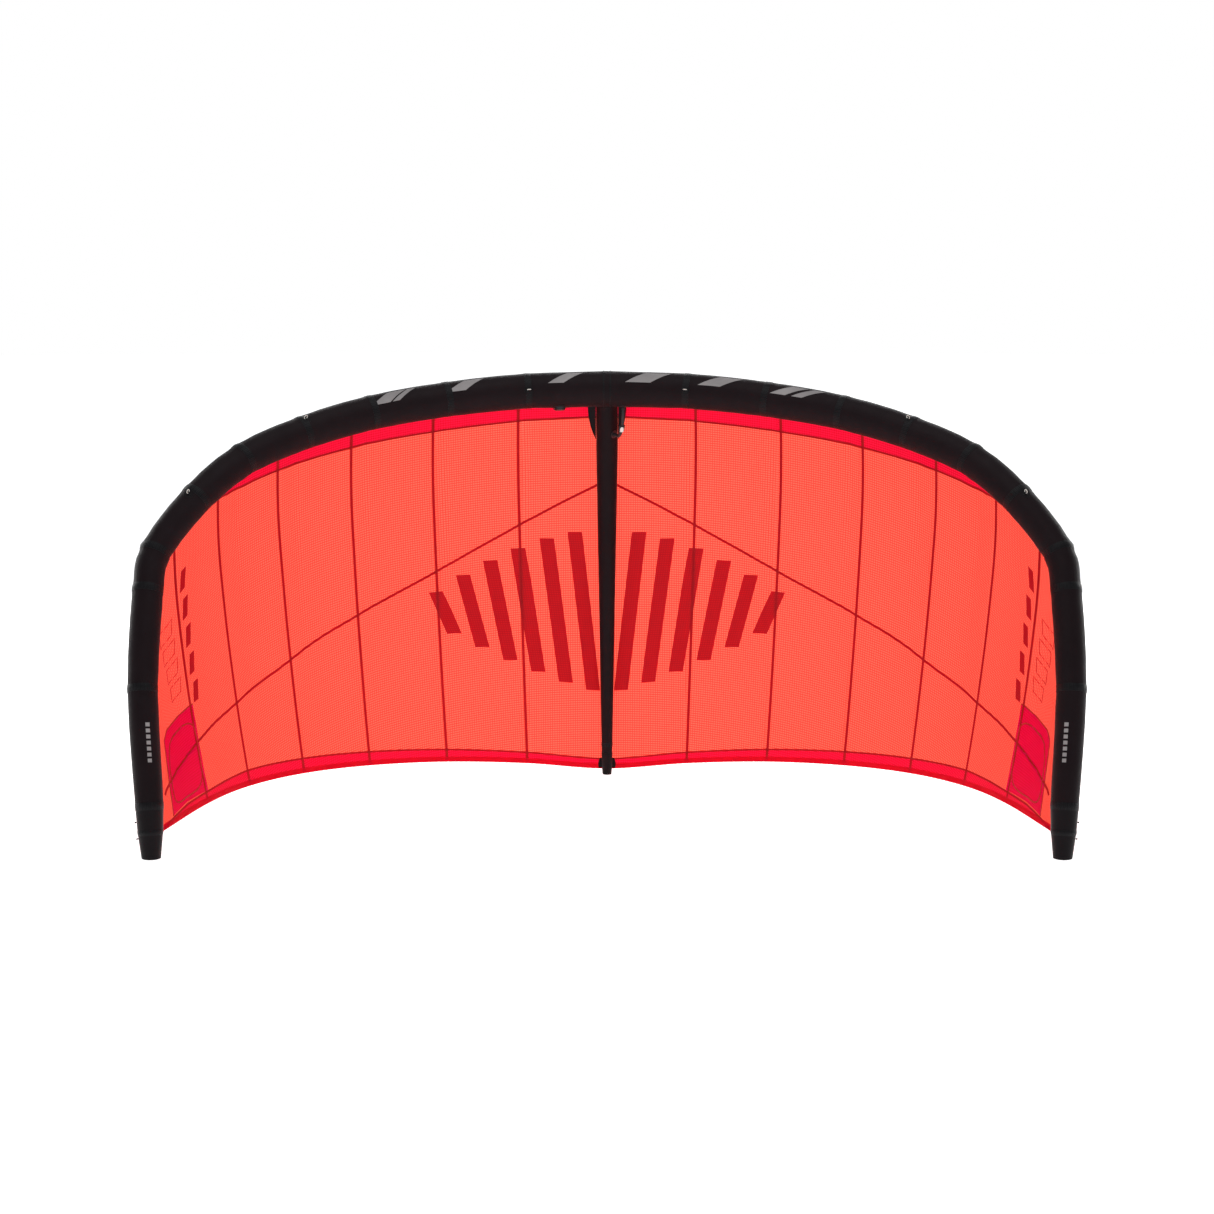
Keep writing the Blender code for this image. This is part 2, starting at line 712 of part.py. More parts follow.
def port_profile():
    return (
        (0.0, PORT_NOZZLE_TOP),
        (PORT_NOZZLE_RADIUS, PORT_NOZZLE_TOP),
        (PORT_NOZZLE_RADIUS, PORT_SHOULDER_TOP),
        (HOSE_RADIUS, PORT_SHOULDER_TOP),
        (HOSE_RADIUS, PORT_FLANGE_TOP),
        (PORT_FLANGE_RADIUS, PORT_FLANGE_TOP),
        (PORT_FLANGE_RADIUS, PORT_FLANGE_BOTTOM),
        (0.0, PORT_FLANGE_BOTTOM),
    )


def bezier(points, part):
    a, b, c, d = points
    rest = 1 - part
    return a * rest**3 + b * 3 * rest**2 * part + c * 3 * rest * part**2 + d * part**3


def hose_route(start, end):
    """Bezier control points between the two ports, and the straight ends on their nozzles."""
    ends = [matrix @ Vector((0, 0, HOSE_END)) for matrix in (start, end)]
    turns = [matrix @ Vector((0, 0, HOSE_STRAIGHT)) for matrix in (start, end)]
    pulls = [matrix @ Vector((0, 0, HOSE_STRAIGHT + HOSE_PULL)) for matrix in (start, end)]
    return ends, (turns[0], pulls[0], pulls[1], turns[1])


def make_hose(casing, bladder, strut, strut_bladder):
    start = surface_frame(PORT_STATION, VALVE_LEAN, 1)
    turned("hose_port_leading_edge", port_profile(), "valve", start)
    axis = strut_axis(STRUT_PORT_CHORD)
    across = Vector((1.0, 0.0, 0.0))
    out = across * math.cos(PORT_TURN) + axis.cross(across) * math.sin(PORT_TURN)
    place = strut_centre(STRUT_PORT_CHORD) + out * (strut_radius(STRUT_PORT_CHORD) + JOINT_GAP)
    end = local_frame(place, out, axis)
    turned("hose_port_strut", port_profile(), "valve", end)
    for part, matrix in ((casing, start), (bladder, start), (strut, end), (strut_bladder, end)):
        name = f"{part.name}_port_hole"
        hole = rod(name, PORT_HOLE_RADIUS, CUTTER_LENGTH, (0, 0, 0), Matrix(), None, matrix, 16)
        boolean(part, "DIFFERENCE", hole)
    ends, control = hose_route(start, end)
    points = [ends[0]] + [bezier(control, part) for part in spread(0, 1, HOSE_POINTS)] + [ends[1]]
    rings = []
    for index, point in enumerate(points):
        ahead = points[min(index + 1, len(points) - 1)]
        behind = points[max(index - 1, 0)]
        ring_frame = local_frame(point, ahead - behind, (0.0, 1.0, 0.3))
        angles = [math.tau * step / HOSE_SIDES for step in range(HOSE_SIDES)]
        ring = [
            ring_frame @ Vector((math.cos(a) * HOSE_RADIUS, math.sin(a) * HOSE_RADIUS, 0))
            for a in angles
        ]
        rings.append(ring)
    hose = loft("inflation_hose", rings, "hose")
    solidify(hose, HOSE_RADIUS - HOSE_BORE, -1)
    along = (bezier(control, 0.55) - bezier(control, 0.45)).normalized()
    to_rider = -canopy_normal(0.0, STRUT_PORT_CHORD)
    across = to_rider - along * to_rider.dot(along)
    make_clip(local_frame(bezier(control, 0.5), across, along))


def make_clip(matrix):
    """Clip that pinches the hose: a frame round it and a lever hinged on the frame."""
    length, width, height = CLIP_SIZE
    frame = box("hose_clip_frame", (length, width, height), (0, 0, 0), "valve", matrix)
    turn = Matrix.Rotation(math.pi / 2, 4, "Y")
    bore = rod("clip_bore", CLIP_BORE, CUTTER_LENGTH, (0, 0, 0), turn, None, matrix, 20)
    boolean(frame, "DIFFERENCE", bore)
    place = (CLIP_HINGE_INSET - length / 2, CLIP_HINGE_RISE + height / 2)
    add_hinge_ears(frame, matrix, place, CLIP_EAR_GAP, CLIP_EAR_HEIGHT)
    hinge = matrix @ Matrix.Translation((place[0], 0.0, place[1]))
    centre = (CLIP_LEVER_START + CLIP_LEVER[0] / 2, 0, 0)
    lever = box("hose_clip_lever", CLIP_LEVER, centre, "clip", hinge)
    bevel = lever.modifiers.new("edge", "BEVEL")
    bevel.width = CLIP_LEVER_BEVEL
    bevel.segments = 2
    add_knuckle(lever, hinge, CLIP_EAR_GAP, CLIP_LEVER_START + KNUCKLE_SIDE_GAP)


# ---------------------------------------------------------------- loops and pigtails


def make_bridle_loops():
    """Cord loops sewn into the leading edge for the bridle, each hinged where it leaves the seam."""
    for side, sign in SIDES:
        for number, (station, up) in enumerate(BRIDLE_LOOPS, start=1):
            matrix = surface_frame(station, math.pi / 2 + up, sign)
            hinge = matrix @ Matrix.Translation((0, 0, LOOP_STANDOFF))
            bpy.ops.mesh.primitive_torus_add(
                major_radius=LOOP_RADIUS,
                minor_radius=LOOP_CORD_RADIUS,
                major_segments=16,
                minor_segments=8,
                location=(0, 0, 0),
            )
            loop = bpy.context.object
            stand = Matrix.Translation((0, 0, LOOP_RADIUS)) @ Matrix.Rotation(math.pi / 2, 4, "X")
            loop.data.transform(stand)
            loop.data.shade_smooth()
            loop.name = f"bridle_loop_{number}_{side}"
            loop.data.materials.append(make_material("cord"))
            loop.matrix_world = hinge
            for owner in loop.users_collection:
                owner.objects.unlink(loop)
            PARTS.objects.link(loop)


def make_pigtails():
    """Short knotted lines for the rear lines, each hinged where it leaves the wingtip."""
    top = PIGTAIL_STEM + 2 * KNOT_RADIUS
    middle = PIGTAIL_STEM + KNOT_RADIUS
    arc = [math.radians(90 - 22.5 * step) for step in range(8)]
    ball = [(KNOT_RADIUS * math.cos(a), middle + KNOT_RADIUS * math.sin(a)) for a in arc[1:7]]
    profile = [(0.0, top)] + ball + [(PIGTAIL_CORD_RADIUS, PIGTAIL_STEM), (PIGTAIL_CORD_RADIUS, 0.0)]
    profile.append((0.0, 0.0))
    for side, sign in SIDES:
        for name, station in PIGTAILS:
            matrix = surface_frame(station, -math.pi / 2, sign)
            hinge = matrix @ Matrix.Translation((0, 0, LOOP_STANDOFF))
            turned(f"pigtail_{name}_{side}", profile, "dark_cord", hinge, 12)


clear_scene()
PARTS = new_collection("kitesurf_kite")
CUTTERS = new_collection("kitesurf_kite_cutters")
centre_segment = make_leading_edge()
make_wingtip_caps()
edge_bladder = make_leading_edge_bladder()
make_canopy()
make_hem()
strut_casing = make_strut()
inner_strut = make_strut_bladder()
make_strut_tail()
make_gussets()
make_valve(centre_segment, edge_bladder)
make_hose(centre_segment, edge_bladder, strut_casing, inner_strut)
make_bridle_loops()
make_pigtails()
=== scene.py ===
import functools
import math

import bmesh
import bpy
from mathutils import Matrix, Vector, noise


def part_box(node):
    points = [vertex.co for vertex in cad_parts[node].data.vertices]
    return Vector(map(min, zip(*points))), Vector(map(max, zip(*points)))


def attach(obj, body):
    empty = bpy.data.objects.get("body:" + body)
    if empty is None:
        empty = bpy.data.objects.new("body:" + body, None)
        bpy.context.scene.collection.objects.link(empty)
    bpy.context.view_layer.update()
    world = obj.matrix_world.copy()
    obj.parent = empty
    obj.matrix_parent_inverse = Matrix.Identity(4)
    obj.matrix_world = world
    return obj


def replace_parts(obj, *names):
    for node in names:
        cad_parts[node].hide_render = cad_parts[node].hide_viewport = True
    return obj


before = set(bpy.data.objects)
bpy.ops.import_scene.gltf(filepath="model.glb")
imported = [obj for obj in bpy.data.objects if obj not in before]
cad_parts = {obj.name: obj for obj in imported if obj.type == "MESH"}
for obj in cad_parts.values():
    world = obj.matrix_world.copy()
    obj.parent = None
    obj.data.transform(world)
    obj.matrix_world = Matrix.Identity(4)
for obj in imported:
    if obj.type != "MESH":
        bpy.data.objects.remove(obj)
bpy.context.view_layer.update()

# ---------------------------------------------------------------- the kite's lines, as the CAD has them

# Across, back, up and tube radius at each sewn joint of the leading edge, from the centre to the wingtip.
LEADING_EDGE = (
    (0.000, 0.506, 1.947, 0.0833),
    (0.380, 0.480, 1.938, 0.0827),
    (0.756, 0.398, 1.903, 0.0814),
    (1.100, 0.262, 1.849, 0.0796),
    (1.399, 0.097, 1.766, 0.0765),
    (1.649, -0.098, 1.660, 0.0735),
    (1.833, -0.287, 1.500, 0.0704),
    (1.994, -0.446, 1.280, 0.0686),
    (2.015, -0.533, 1.118, 0.0674),
    (2.015, -0.712, 0.709, 0.0649),
    (1.972, -0.848, 0.220, 0.0600),
    (1.967, -0.867, 0.110, 0.0539),
    (1.963, -0.882, 0.000, 0.0410),
)
TRAILING_EDGE = (
    (0.000, 0.895, 0.024),
    (0.399, 0.856, 0.059),
    (0.792, 0.734, 0.092),
    (1.156, 0.543, 0.113),
    (1.449, 0.315, 0.122),
    (1.667, 0.032, 0.122),
    (1.805, -0.326, 0.119),
    (1.942, -0.811, 0.091),
)
SEAM_STATIONS = (0.0, 1.08, 2.12, 3.20, 4.30, 5.40, 6.45, 10.60)
PANELS = 7
LAST_FULL_SEAM = 6
CAP_STATION = 10
TIP_BAND_STATION = 11
FOOT_STATION = 12
CANOPY_CLEARANCE = 0.002
CAMBER = 0.035
CAMBER_PEAK = 0.30
ATTACH_ANGLE_CENTRE = math.radians(15)
ATTACH_ANGLE_TIP = math.radians(70)
STRUT_RADIUS = 0.0524
STRUT_TAIL_RADIUS = 0.0251
STRUT_TAPER_START = 0.15
STRUT_CLEARANCE = 0.0038
STRUT_START = 0.012
STRUT_CASING_END = 0.955
HEEL_CHORD = 0.985
HEEL_REACH = 0.027
FOOT_RADIUS = 0.021
VALVE_STATION = 0.60
PORT_STATION = 0.205
PORT_CHORD = 0.105
PORT_TURN = math.radians(50)
HOSE_RADIUS = 0.0075
HOSE_WALL = 0.0022
HOSE_END = 0.0046
HOSE_STRAIGHT = 0.024
HOSE_PULL = 0.038
GUSSET_CHORD = 0.085
GUSSET_WIDTH = 0.037
GUSSET_LENGTH = 0.190
GUSSET_BULGE = 2.4
VALVE_LEAN = math.radians(20)
BRIDLE_LOOPS = ((1.00, math.radians(18)), (3.97, math.radians(64)), (6.10, math.radians(66)))
PIGTAILS = (("upper", 10.60), ("lower", 11.26))
LOOP_STANDOFF = 0.003
LOOP_HALF = 0.0095
TAB_HALF = 0.0125
SIDES = (("left", -1), ("right", 1))

# ---------------------------------------------------------------- cloth

BILLOW = 0.009
CLOTH_THICKNESS = 0.0006
CASING_WALL = 0.0007
CAP_WALL = 0.001
FILM_GAP = 0.0045
PANEL_COLUMNS = 22
BAND_ROWS = 8
FIELD_ROWS = 84
RUFFLE = 0.0011
TUBE_SIDES = 96
CAP_SIDES = 72
STRUT_SIDES = 72
TUBE_BOW = 0.6
BOW_EASE = 0.3
TUBE_BULGE = 0.0012
PUCKER = 0.0011
PUCKER_REACH = 0.055
BAND_HALF = 0.016
BAND_HEIGHT = 0.0016
SEAM_HALF = 0.0066
RIPSTOP_CELL = 0.0115
GRID_LINE = 0.0034
BRAID_PITCH = 0.0016
MERGE_DISTANCE = 1e-6
HEM_WIDTH = 0.024
SCALLOP_PITCH = 0.026
INSET_THICKNESS = 0.0016
INSET_COUNT = 6
INSET_STEP = 0.33
INSET_MIDDLE = 0.585
INSET_HALF_WIDTH = 0.085
TIP_BARS = 5
PRINT_LIFT = 0.0009
PRINT_THICKNESS = 0.0005


def spline(a, b, c, d, part):
    """Point between b and c on the smooth curve through four points."""
    bend = (a * 2 - b * 5 + c * 4 - d) * part**2 + (b * 3 - a - c * 3 + d) * part**3
    return (b * 2 + (c - a) * part + bend) / 2


def turns(count):
    return [math.tau * step / count for step in range(count)]


def mirrored(point, sign):
    return Vector((point.x * sign, point.y, point.z))


@functools.cache
def station_centre(station):
    return Vector(LEADING_EDGE[station][:3])


@functools.cache
def station_normal(station):
    if station == 0:
        return Vector((1.0, 0.0, 0.0))
    if station == FOOT_STATION:
        return Vector((0.0, 0.0, -1.0))
    before = (station_centre(station) - station_centre(station - 1)).normalized()
    after = (station_centre(station + 1) - station_centre(station)).normalized()
    return (before + after).normalized()


def trailing_point(u):
    """Point on the trailing edge, u counted in chordwise seams from the centre."""
    if u < 0:
        return mirrored(trailing_point(-u), -1)
    rows = [Vector(row) for row in TRAILING_EDGE]
    rows = [mirrored(rows[1], -1)] + rows + [rows[-1] * 2 - rows[-2]]
    index = min(int(u), PANELS - 1)
    return spline(*rows[index : index + 4], u - index)


def station_at(u):
    index = min(int(u), PANELS - 1)
    start, end = SEAM_STATIONS[index : index + 2]
    return start + (end - start) * (u - index)


def seam_at(station):
    for index, (start, end) in enumerate(zip(SEAM_STATIONS, SEAM_STATIONS[1:])):
        if station <= end:
            return index + (station - start) / (end - start)
    return float(PANELS)


@functools.cache
def section_axes(station):
    normal = station_normal(station)
    target = trailing_point(min(seam_at(station), LAST_FULL_SEAM))
    aft = target - station_centre(station)
    aft = (aft - normal * aft.dot(normal)).normalized()
    return aft, normal.cross(aft)


def straight_tube(station, angle, growth=0.0):
    """Point on the straight-sided tube; angle runs from outward, 0, to aft, a quarter turn."""
    if station < 0:
        return mirrored(straight_tube(-station, angle, growth), -1)
    low = min(int(station), FOOT_STATION - 1)
    ends = []
    for index in (low, low + 1):
        aft, outward = section_axes(index)
        arm = outward * math.cos(angle) + aft * math.sin(angle)
        ends.append(station_centre(index) + arm * (LEADING_EDGE[index][3] + growth))
    return ends[0].lerp(ends[1], station - low)


def bow(station):
    """How far an inflated segment bends away from the straight line between its joints."""
    station = abs(station)
    low = min(int(station), FOOT_STATION - 1)
    if low == 0 or low >= CAP_STATION:
        return Vector()
    part = station - low
    a, b, c, d = [station_centre(index) for index in range(low - 1, low + 3)]
    ends = min(1.0, min(part, 1 - part) / BOW_EASE) ** 2
    return (spline(a, b, c, d, part) - b.lerp(c, part)) * TUBE_BOW * ends


def tube_point(station, angle, growth=0.0, puckered=True):
    """Point on the inflated tube: each segment swells between its seams and puckers beside them."""
    sign = -1 if station < 0 else 1
    station = abs(station)
    low = min(int(station), FOOT_STATION - 1)
    part = station - low
    length = segment_length(low)
    swell = 0.0
    if low < CAP_STATION:
        edge = min(part, 1 - part) * length
        if low == 0:
            edge = (1 - part) * length
        swell = TUBE_BULGE * min(1.0, edge / 0.08) ** 2
        if puckered:
            fade = max(0.0, 1 - edge / PUCKER_REACH) ** 1.5 * min(1.0, edge / 0.004)
            where = Vector((math.cos(angle) * 3.1, math.sin(angle) * 3.1, low * 7.7 + round(part)))
            ripple = math.sin(angle * 24 + 2.5 * noise.noise(where * 1.7))
            strength = 0.35 + 0.65 * (0.5 + 0.5 * noise.noise(where))
            swell += PUCKER * fade * ripple * strength
    point = straight_tube(station, angle, growth + swell) + bow(station)
    return mirrored(point, sign)


def attach_angle(station):
    part = abs(station) / SEAM_STATIONS[-1]
    return ATTACH_ANGLE_CENTRE + (ATTACH_ANGLE_TIP - ATTACH_ANGLE_CENTRE) * part**2


def attach_point(station):
    return straight_tube(station, attach_angle(station), CANOPY_CLEARANCE)


def camber_height(t):
    if t < CAMBER_PEAK:
        return CAMBER * (2 * CAMBER_PEAK * t - t * t) / CAMBER_PEAK**2
    rear = 1 - CAMBER_PEAK
    return CAMBER * (1 - 2 * CAMBER_PEAK + 2 * CAMBER_PEAK * t - t * t) / rear**2


def cad_normal(u, t):
    station = station_at(u)
    front = attach_point(station + 0.04) - attach_point(station - 0.04)
    rear = trailing_point(u + 0.04) - trailing_point(u - 0.04)
    span = front.normalized().lerp(rear.normalized(), t)
    chord = trailing_point(u) - attach_point(station)
    return span.cross(chord).normalized()


@functools.lru_cache(maxsize=60000)
def cloth_frame(u, t):
    """Point and outward normal of the canopy; u in seams, negative on the left, t from front to back."""
    sign = -1 if u < 0 else 1
    u = abs(u)
    start = attach_point(station_at(u))
    chord = trailing_point(u) - start
    normal = cad_normal(u, t)
    point = start + chord * t + normal * chord.length * camber_height(t)
    part = u - min(int(u), PANELS - 1)
    full = math.sin(math.pi * part) ** 2 * math.sin(math.pi * min(1.0, t * 1.1)) if t < 0.909 else 0.0
    point += normal * BILLOW * max(0.0, full) * min(1.0, chord.length)
    point += bow(station_at(u)) * (1 - t) ** 4
    ruffle = noise.noise(Vector((u * 2.6, t * 5.0, 4.2)))
    point += normal * RUFFLE * ruffle * math.sin(math.pi * t)
    return mirrored(point, sign), mirrored(normal, sign)


def cloth_uv(u, t):
    return cloth_frame(round(u, 5), round(t, 5))


def cloth(u, t, lift=0.0):
    point, normal = cloth_uv(u, t)
    return point + normal * lift


def strut_radius(t):
    if t < STRUT_TAPER_START:
        return STRUT_RADIUS
    part = (t - STRUT_TAPER_START) / (1 - STRUT_TAPER_START)
    return STRUT_RADIUS + (STRUT_TAIL_RADIUS - STRUT_RADIUS) * part


def strut_centre(t):
    start = attach_point(0.0)
    chord = trailing_point(0.0) - start
    normal = cad_normal(0.0, t)
    rise = normal * (chord.length * camber_height(t) - strut_radius(t) - STRUT_CLEARANCE)
    return start + chord * t + rise


def strut_axis(t):
    return (strut_centre(t + 0.01) - strut_centre(t - 0.01)).normalized()


def strut_point(t, angle, growth=0.0):
    """Point on the strut; angle 0 is across, and a quarter turn is away from the canopy."""
    across = Vector((1.0, 0.0, 0.0))
    depth = strut_axis(t).cross(across)
    if depth.y > 0:
        depth = -depth
    arm = across * math.cos(angle) + depth * math.sin(angle)
    return strut_centre(t) + arm * (strut_radius(t) + growth)


def le_band(u):
    """Part of the chord that the crimson band under the leading edge takes."""
    u = abs(u)
    wide = 0.072 + 0.012 * math.sin(min(u, 4.0) / 4.0 * math.pi * 0.75)
    return max(0.004, wide * min(1.0, (6.8 - u) / 2.2)) if u < 6.8 else 0.004


def te_band(u):
    """Part of the chord at which the crimson band along the trailing edge begins."""
    u = abs(u)
    if u < 5:
        return 0.975 - 0.025 * (u / 5) ** 1.2
    if u < 6:
        return 0.950 + 0.012 * (u - 5)
    return 0.962 - 0.012 * (u - 6)


# ---------------------------------------------------------------- materials


class Nodes:
    """Short-hand for building one material's node tree."""

    def __init__(self, name):
        self.material = bpy.data.materials.new(name)
        self.material.use_nodes = True
        self.tree = self.material.node_tree
        self.shader = self.tree.nodes["Principled BSDF"]
        self.output = self.tree.nodes["Material Output"]

    def add(self, kind, **settings):
        node = self.tree.nodes.new(kind)
        for key, value in settings.items():
            setattr(node, key, value)
        return node

    def link(self, source, target):
        self.tree.links.new(source, target)

    def math(self, operation, first, second=0.0, third=None):
        node = self.add("ShaderNodeMath", operation=operation)
        for socket, value in zip(node.inputs, (first, second, third)):
            if value is None:
                continue
            if isinstance(value, (int, float)):
                socket.default_value = value
            else:
                self.link(value, socket)
        return node.outputs[0]

    def mix(self, factor, first, second):
        node = self.add("ShaderNodeMix", data_type="RGBA")
        for socket, value in ((node.inputs[0], factor), (node.inputs[6], first), (node.inputs[7], second)):
            if isinstance(value, (int, float)):
                socket.default_value = value
            elif isinstance(value, tuple):
                socket.default_value = (*value, 1.0)
            else:
                self.link(value, socket)
        return node.outputs[2]

    def uv(self):
        parts = self.add("ShaderNodeSeparateXYZ")
        self.link(self.add("ShaderNodeUVMap", uv_map="metres").outputs[0], parts.inputs[0])
        return parts.outputs[0], parts.outputs[1]

    def place(self):
        return self.add("ShaderNodeTexCoord").outputs["Object"]

    def noise(self, scale, detail=3.0, stretch=None):
        node = self.add("ShaderNodeTexNoise")
        node.inputs["Scale"].default_value = scale
        node.inputs["Detail"].default_value = detail
        source = self.place()
        if stretch:
            mapping = self.add("ShaderNodeMapping")
            mapping.inputs["Scale"].default_value = stretch
            self.link(source, mapping.inputs["Vector"])
            source = mapping.outputs[0]
        self.link(source, node.inputs["Vector"])
        return node.outputs[0]

    def lines(self, coordinate, pitch, width):
        """1 on lines of the given width, a pitch apart, and 0 between them."""
        along = self.math("FRACT", self.math("DIVIDE", coordinate, pitch))
        return self.math("LESS_THAN", along, width / pitch)

    def weave(self, pitch):
        """Height of a plain weave: threads that pass over and under each other."""
        across, along = self.uv()
        turn = math.tau / pitch
        wave_a = self.math("SINE", self.math("MULTIPLY", across, turn))
        wave_b = self.math("SINE", self.math("MULTIPLY", along, turn))
        return self.math("MULTIPLY", wave_a, wave_b)

    def bump(self, height, strength, distance=0.0004):
        node = self.add("ShaderNodeBump")
        node.inputs["Strength"].default_value = strength
        node.inputs["Distance"].default_value = distance
        self.link(height, node.inputs["Height"])
        self.link(node.outputs[0], self.shader.inputs["Normal"])

    def glow(self, share):
        """Lets light through the cloth, as a share of what the surface shows; returns its shader."""
        lamp = self.add("ShaderNodeBsdfTranslucent")
        blend = self.add("ShaderNodeMixShader")
        blend.inputs[0].default_value = share
        self.link(self.shader.outputs[0], blend.inputs[1])
        self.link(lamp.outputs[0], blend.inputs[2])
        self.link(blend.outputs[0], self.output.inputs["Surface"])
        return lamp

    def roughness(self, low, high, scale):
        spread = self.math("MULTIPLY_ADD", self.noise(scale), high - low, low)
        self.link(spread, self.shader.inputs["Roughness"])


def scaled(colour, factor, extra=0.0):
    return tuple(min(1.0, c * factor + extra) for c in colour)


def cloth_material(name, colour, line_colour, through, share):
    """Thin ripstop that lets light through, with its grid of stronger threads."""
    n = Nodes(name)
    across, along = n.uv()
    grid = n.math(
        "MAXIMUM", n.lines(across, RIPSTOP_CELL, GRID_LINE), n.lines(along, RIPSTOP_CELL, GRID_LINE * 1.3)
    )
    shade = n.math("MULTIPLY_ADD", n.noise(2.3, 4.0), 0.16, -0.08)
    plain = n.mix(n.math("ADD", 0.5, shade), scaled(colour, 0.90), scaled(colour, 1.08))
    final = n.mix(n.math("MULTIPLY", grid, 0.62), plain, line_colour)
    n.link(final, n.shader.inputs["Base Color"])
    n.roughness(0.42, 0.62, 9.0)
    n.shader.inputs["Specular IOR Level"].default_value = 0.25
    n.shader.inputs["Sheen Weight"].default_value = 0.08
    fine = n.math("MULTIPLY_ADD", grid, 0.8, n.math("MULTIPLY", n.weave(0.0011), 0.15))
    crinkle = n.math("ADD", fine, n.math("MULTIPLY", n.noise(55.0, 5.0), 0.9))
    n.bump(crinkle, 0.30, 0.0005)
    lamp = n.glow(share)
    n.link(n.mix(n.math("MULTIPLY", grid, 0.9), through, line_colour), lamp.inputs["Color"])
    return n.material


def stitched_material(name, colour, thread, rough, pitch, row, through=None):
    """Sewn tape or folded cloth: a fine weave, and rows of zigzag thread a row apart across it."""
    n = Nodes(name)
    across, along = n.uv()
    plain = n.mix(n.noise(14.0, 4.0), scaled(colour, 0.72), scaled(colour, 1.25))
    saw = n.math("PINGPONG", along, pitch / 2)
    side = n.math("PINGPONG", across, row)
    gap = n.math("ABSOLUTE", n.math("SUBTRACT", n.math("SUBTRACT", side, row * 0.45), saw))
    mark = n.math("LESS_THAN", gap, 0.00045)
    height = n.math("ADD", n.math("MULTIPLY", n.weave(0.0012), 0.35), mark)
    n.link(n.mix(n.math("MULTIPLY", mark, 0.8), plain, thread), n.shader.inputs["Base Color"])
    n.roughness(rough - 0.08, rough + 0.1, 30.0)
    n.shader.inputs["Specular IOR Level"].default_value = 0.12
    n.bump(height, 0.5, 0.0004)
    if through:
        n.glow(0.62).inputs["Color"].default_value = (*through, 1.0)
    return n.material


def dacron_material(name, colour, wear, rough=0.5):
    """Black woven sailcloth: a tight weave, long soft creases, and paler rubbed places."""
    n = Nodes(name)
    rubbed = n.math("MULTIPLY", n.math("POWER", n.noise(21.0, 6.0), 4.0), 0.55)
    plain = n.mix(n.noise(6.0, 5.0), scaled(colour, 0.7), scaled(colour, 1.3))
    threads = n.math("MULTIPLY_ADD", n.weave(0.0016), 0.5, 0.5)
    plain = n.mix(n.math("MULTIPLY", threads, 0.22), plain, wear)
    n.link(n.mix(rubbed, plain, wear), n.shader.inputs["Base Color"])
    n.roughness(rough - 0.1, rough + 0.12, 18.0)
    n.shader.inputs["Specular IOR Level"].default_value = 0.07
    n.shader.inputs["Sheen Weight"].default_value = 0.04
    n.shader.inputs["Sheen Roughness"].default_value = 0.4
    crease = n.noise(26.0, 5.0)
    n.bump(n.math("MULTIPLY_ADD", n.weave(0.0016), 0.25, crease), 0.35, 0.0009)
    return n.material


def moulded_material(name, colour, rough, grain=260.0, coat=0.0):
    """Moulded plastic or rubber: fine grain, faint flow marks, and paler handled places."""
    n = Nodes(name)
    flow = n.noise(38.0, 4.0, (1.0, 1.0, 0.2))
    plain = n.mix(flow, scaled(colour, 0.8), scaled(colour, 1.25, 0.01))
    scuffs = n.math("MULTIPLY", n.math("POWER", n.noise(95.0, 6.0), 5.0), 0.9)
    n.link(n.mix(scuffs, plain, scaled(colour, 1.6, 0.05)), n.shader.inputs["Base Color"])
    n.roughness(rough - 0.08, rough + 0.12, 60.0)
    n.shader.inputs["Coat Weight"].default_value = coat
    n.bump(n.noise(grain * 4, 3.0), 0.18, 0.0002)
    return n.material


def braid_material(name, colour, dark):
    """Braided line: two sets of strands that cross on the slant."""
    n = Nodes(name)
    across, along = n.uv()
    turn = math.tau / BRAID_PITCH
    first = n.math("SINE", n.math("MULTIPLY", n.math("ADD", across, along), turn))
    second = n.math("SINE", n.math("MULTIPLY", n.math("SUBTRACT", across, along), turn))
    strand = n.math("MULTIPLY_ADD", n.math("MAXIMUM", first, second), 0.5, 0.5)
    n.link(n.mix(strand, dark, colour), n.shader.inputs["Base Color"])
    n.roughness(0.65, 0.85, 200.0)
    n.shader.inputs["Sheen Weight"].default_value = 0.3
    n.bump(strand, 0.8, 0.0004)
    return n.material


def film_material(name):
    """Milky bladder film, a little cloudy and tacky."""
    n = Nodes(name)
    cloud = n.noise(9.0, 4.0)
    n.link(n.mix(cloud, (0.70, 0.74, 0.70), (0.86, 0.87, 0.82)), n.shader.inputs["Base Color"])
    n.roughness(0.22, 0.40, 20.0)
    n.bump(n.noise(70.0, 4.0), 0.25, 0.0006)
    return n.material


ORANGE = (0.95, 0.095, 0.052)
CRIMSON = (0.80, 0.004, 0.040)
DARK_RED = (0.56, 0.006, 0.022)
# Name, colour, grid threads, light that passes, and how much of the look that light makes up.
CLOTHS = {
    "ripstop": ("ripstop_orange", ORANGE, (0.78, 0.13, 0.10), (1.0, 0.370, 0.305), 0.80),
    "crimson": ("ripstop_crimson", CRIMSON, (0.68, 0.02, 0.09), (0.97, 0.046, 0.195), 0.76),
    "tip": ("ripstop_wingtip", (0.80, 0.002, 0.07), (0.82, 0.0, 0.30), (1.0, 0.012, 0.62), 0.76),
    "inset": ("inset_dark_red", (0.60, 0.006, 0.016), (0.58, 0.04, 0.08), (0.74, 0.060, 0.105), 0.72),
}
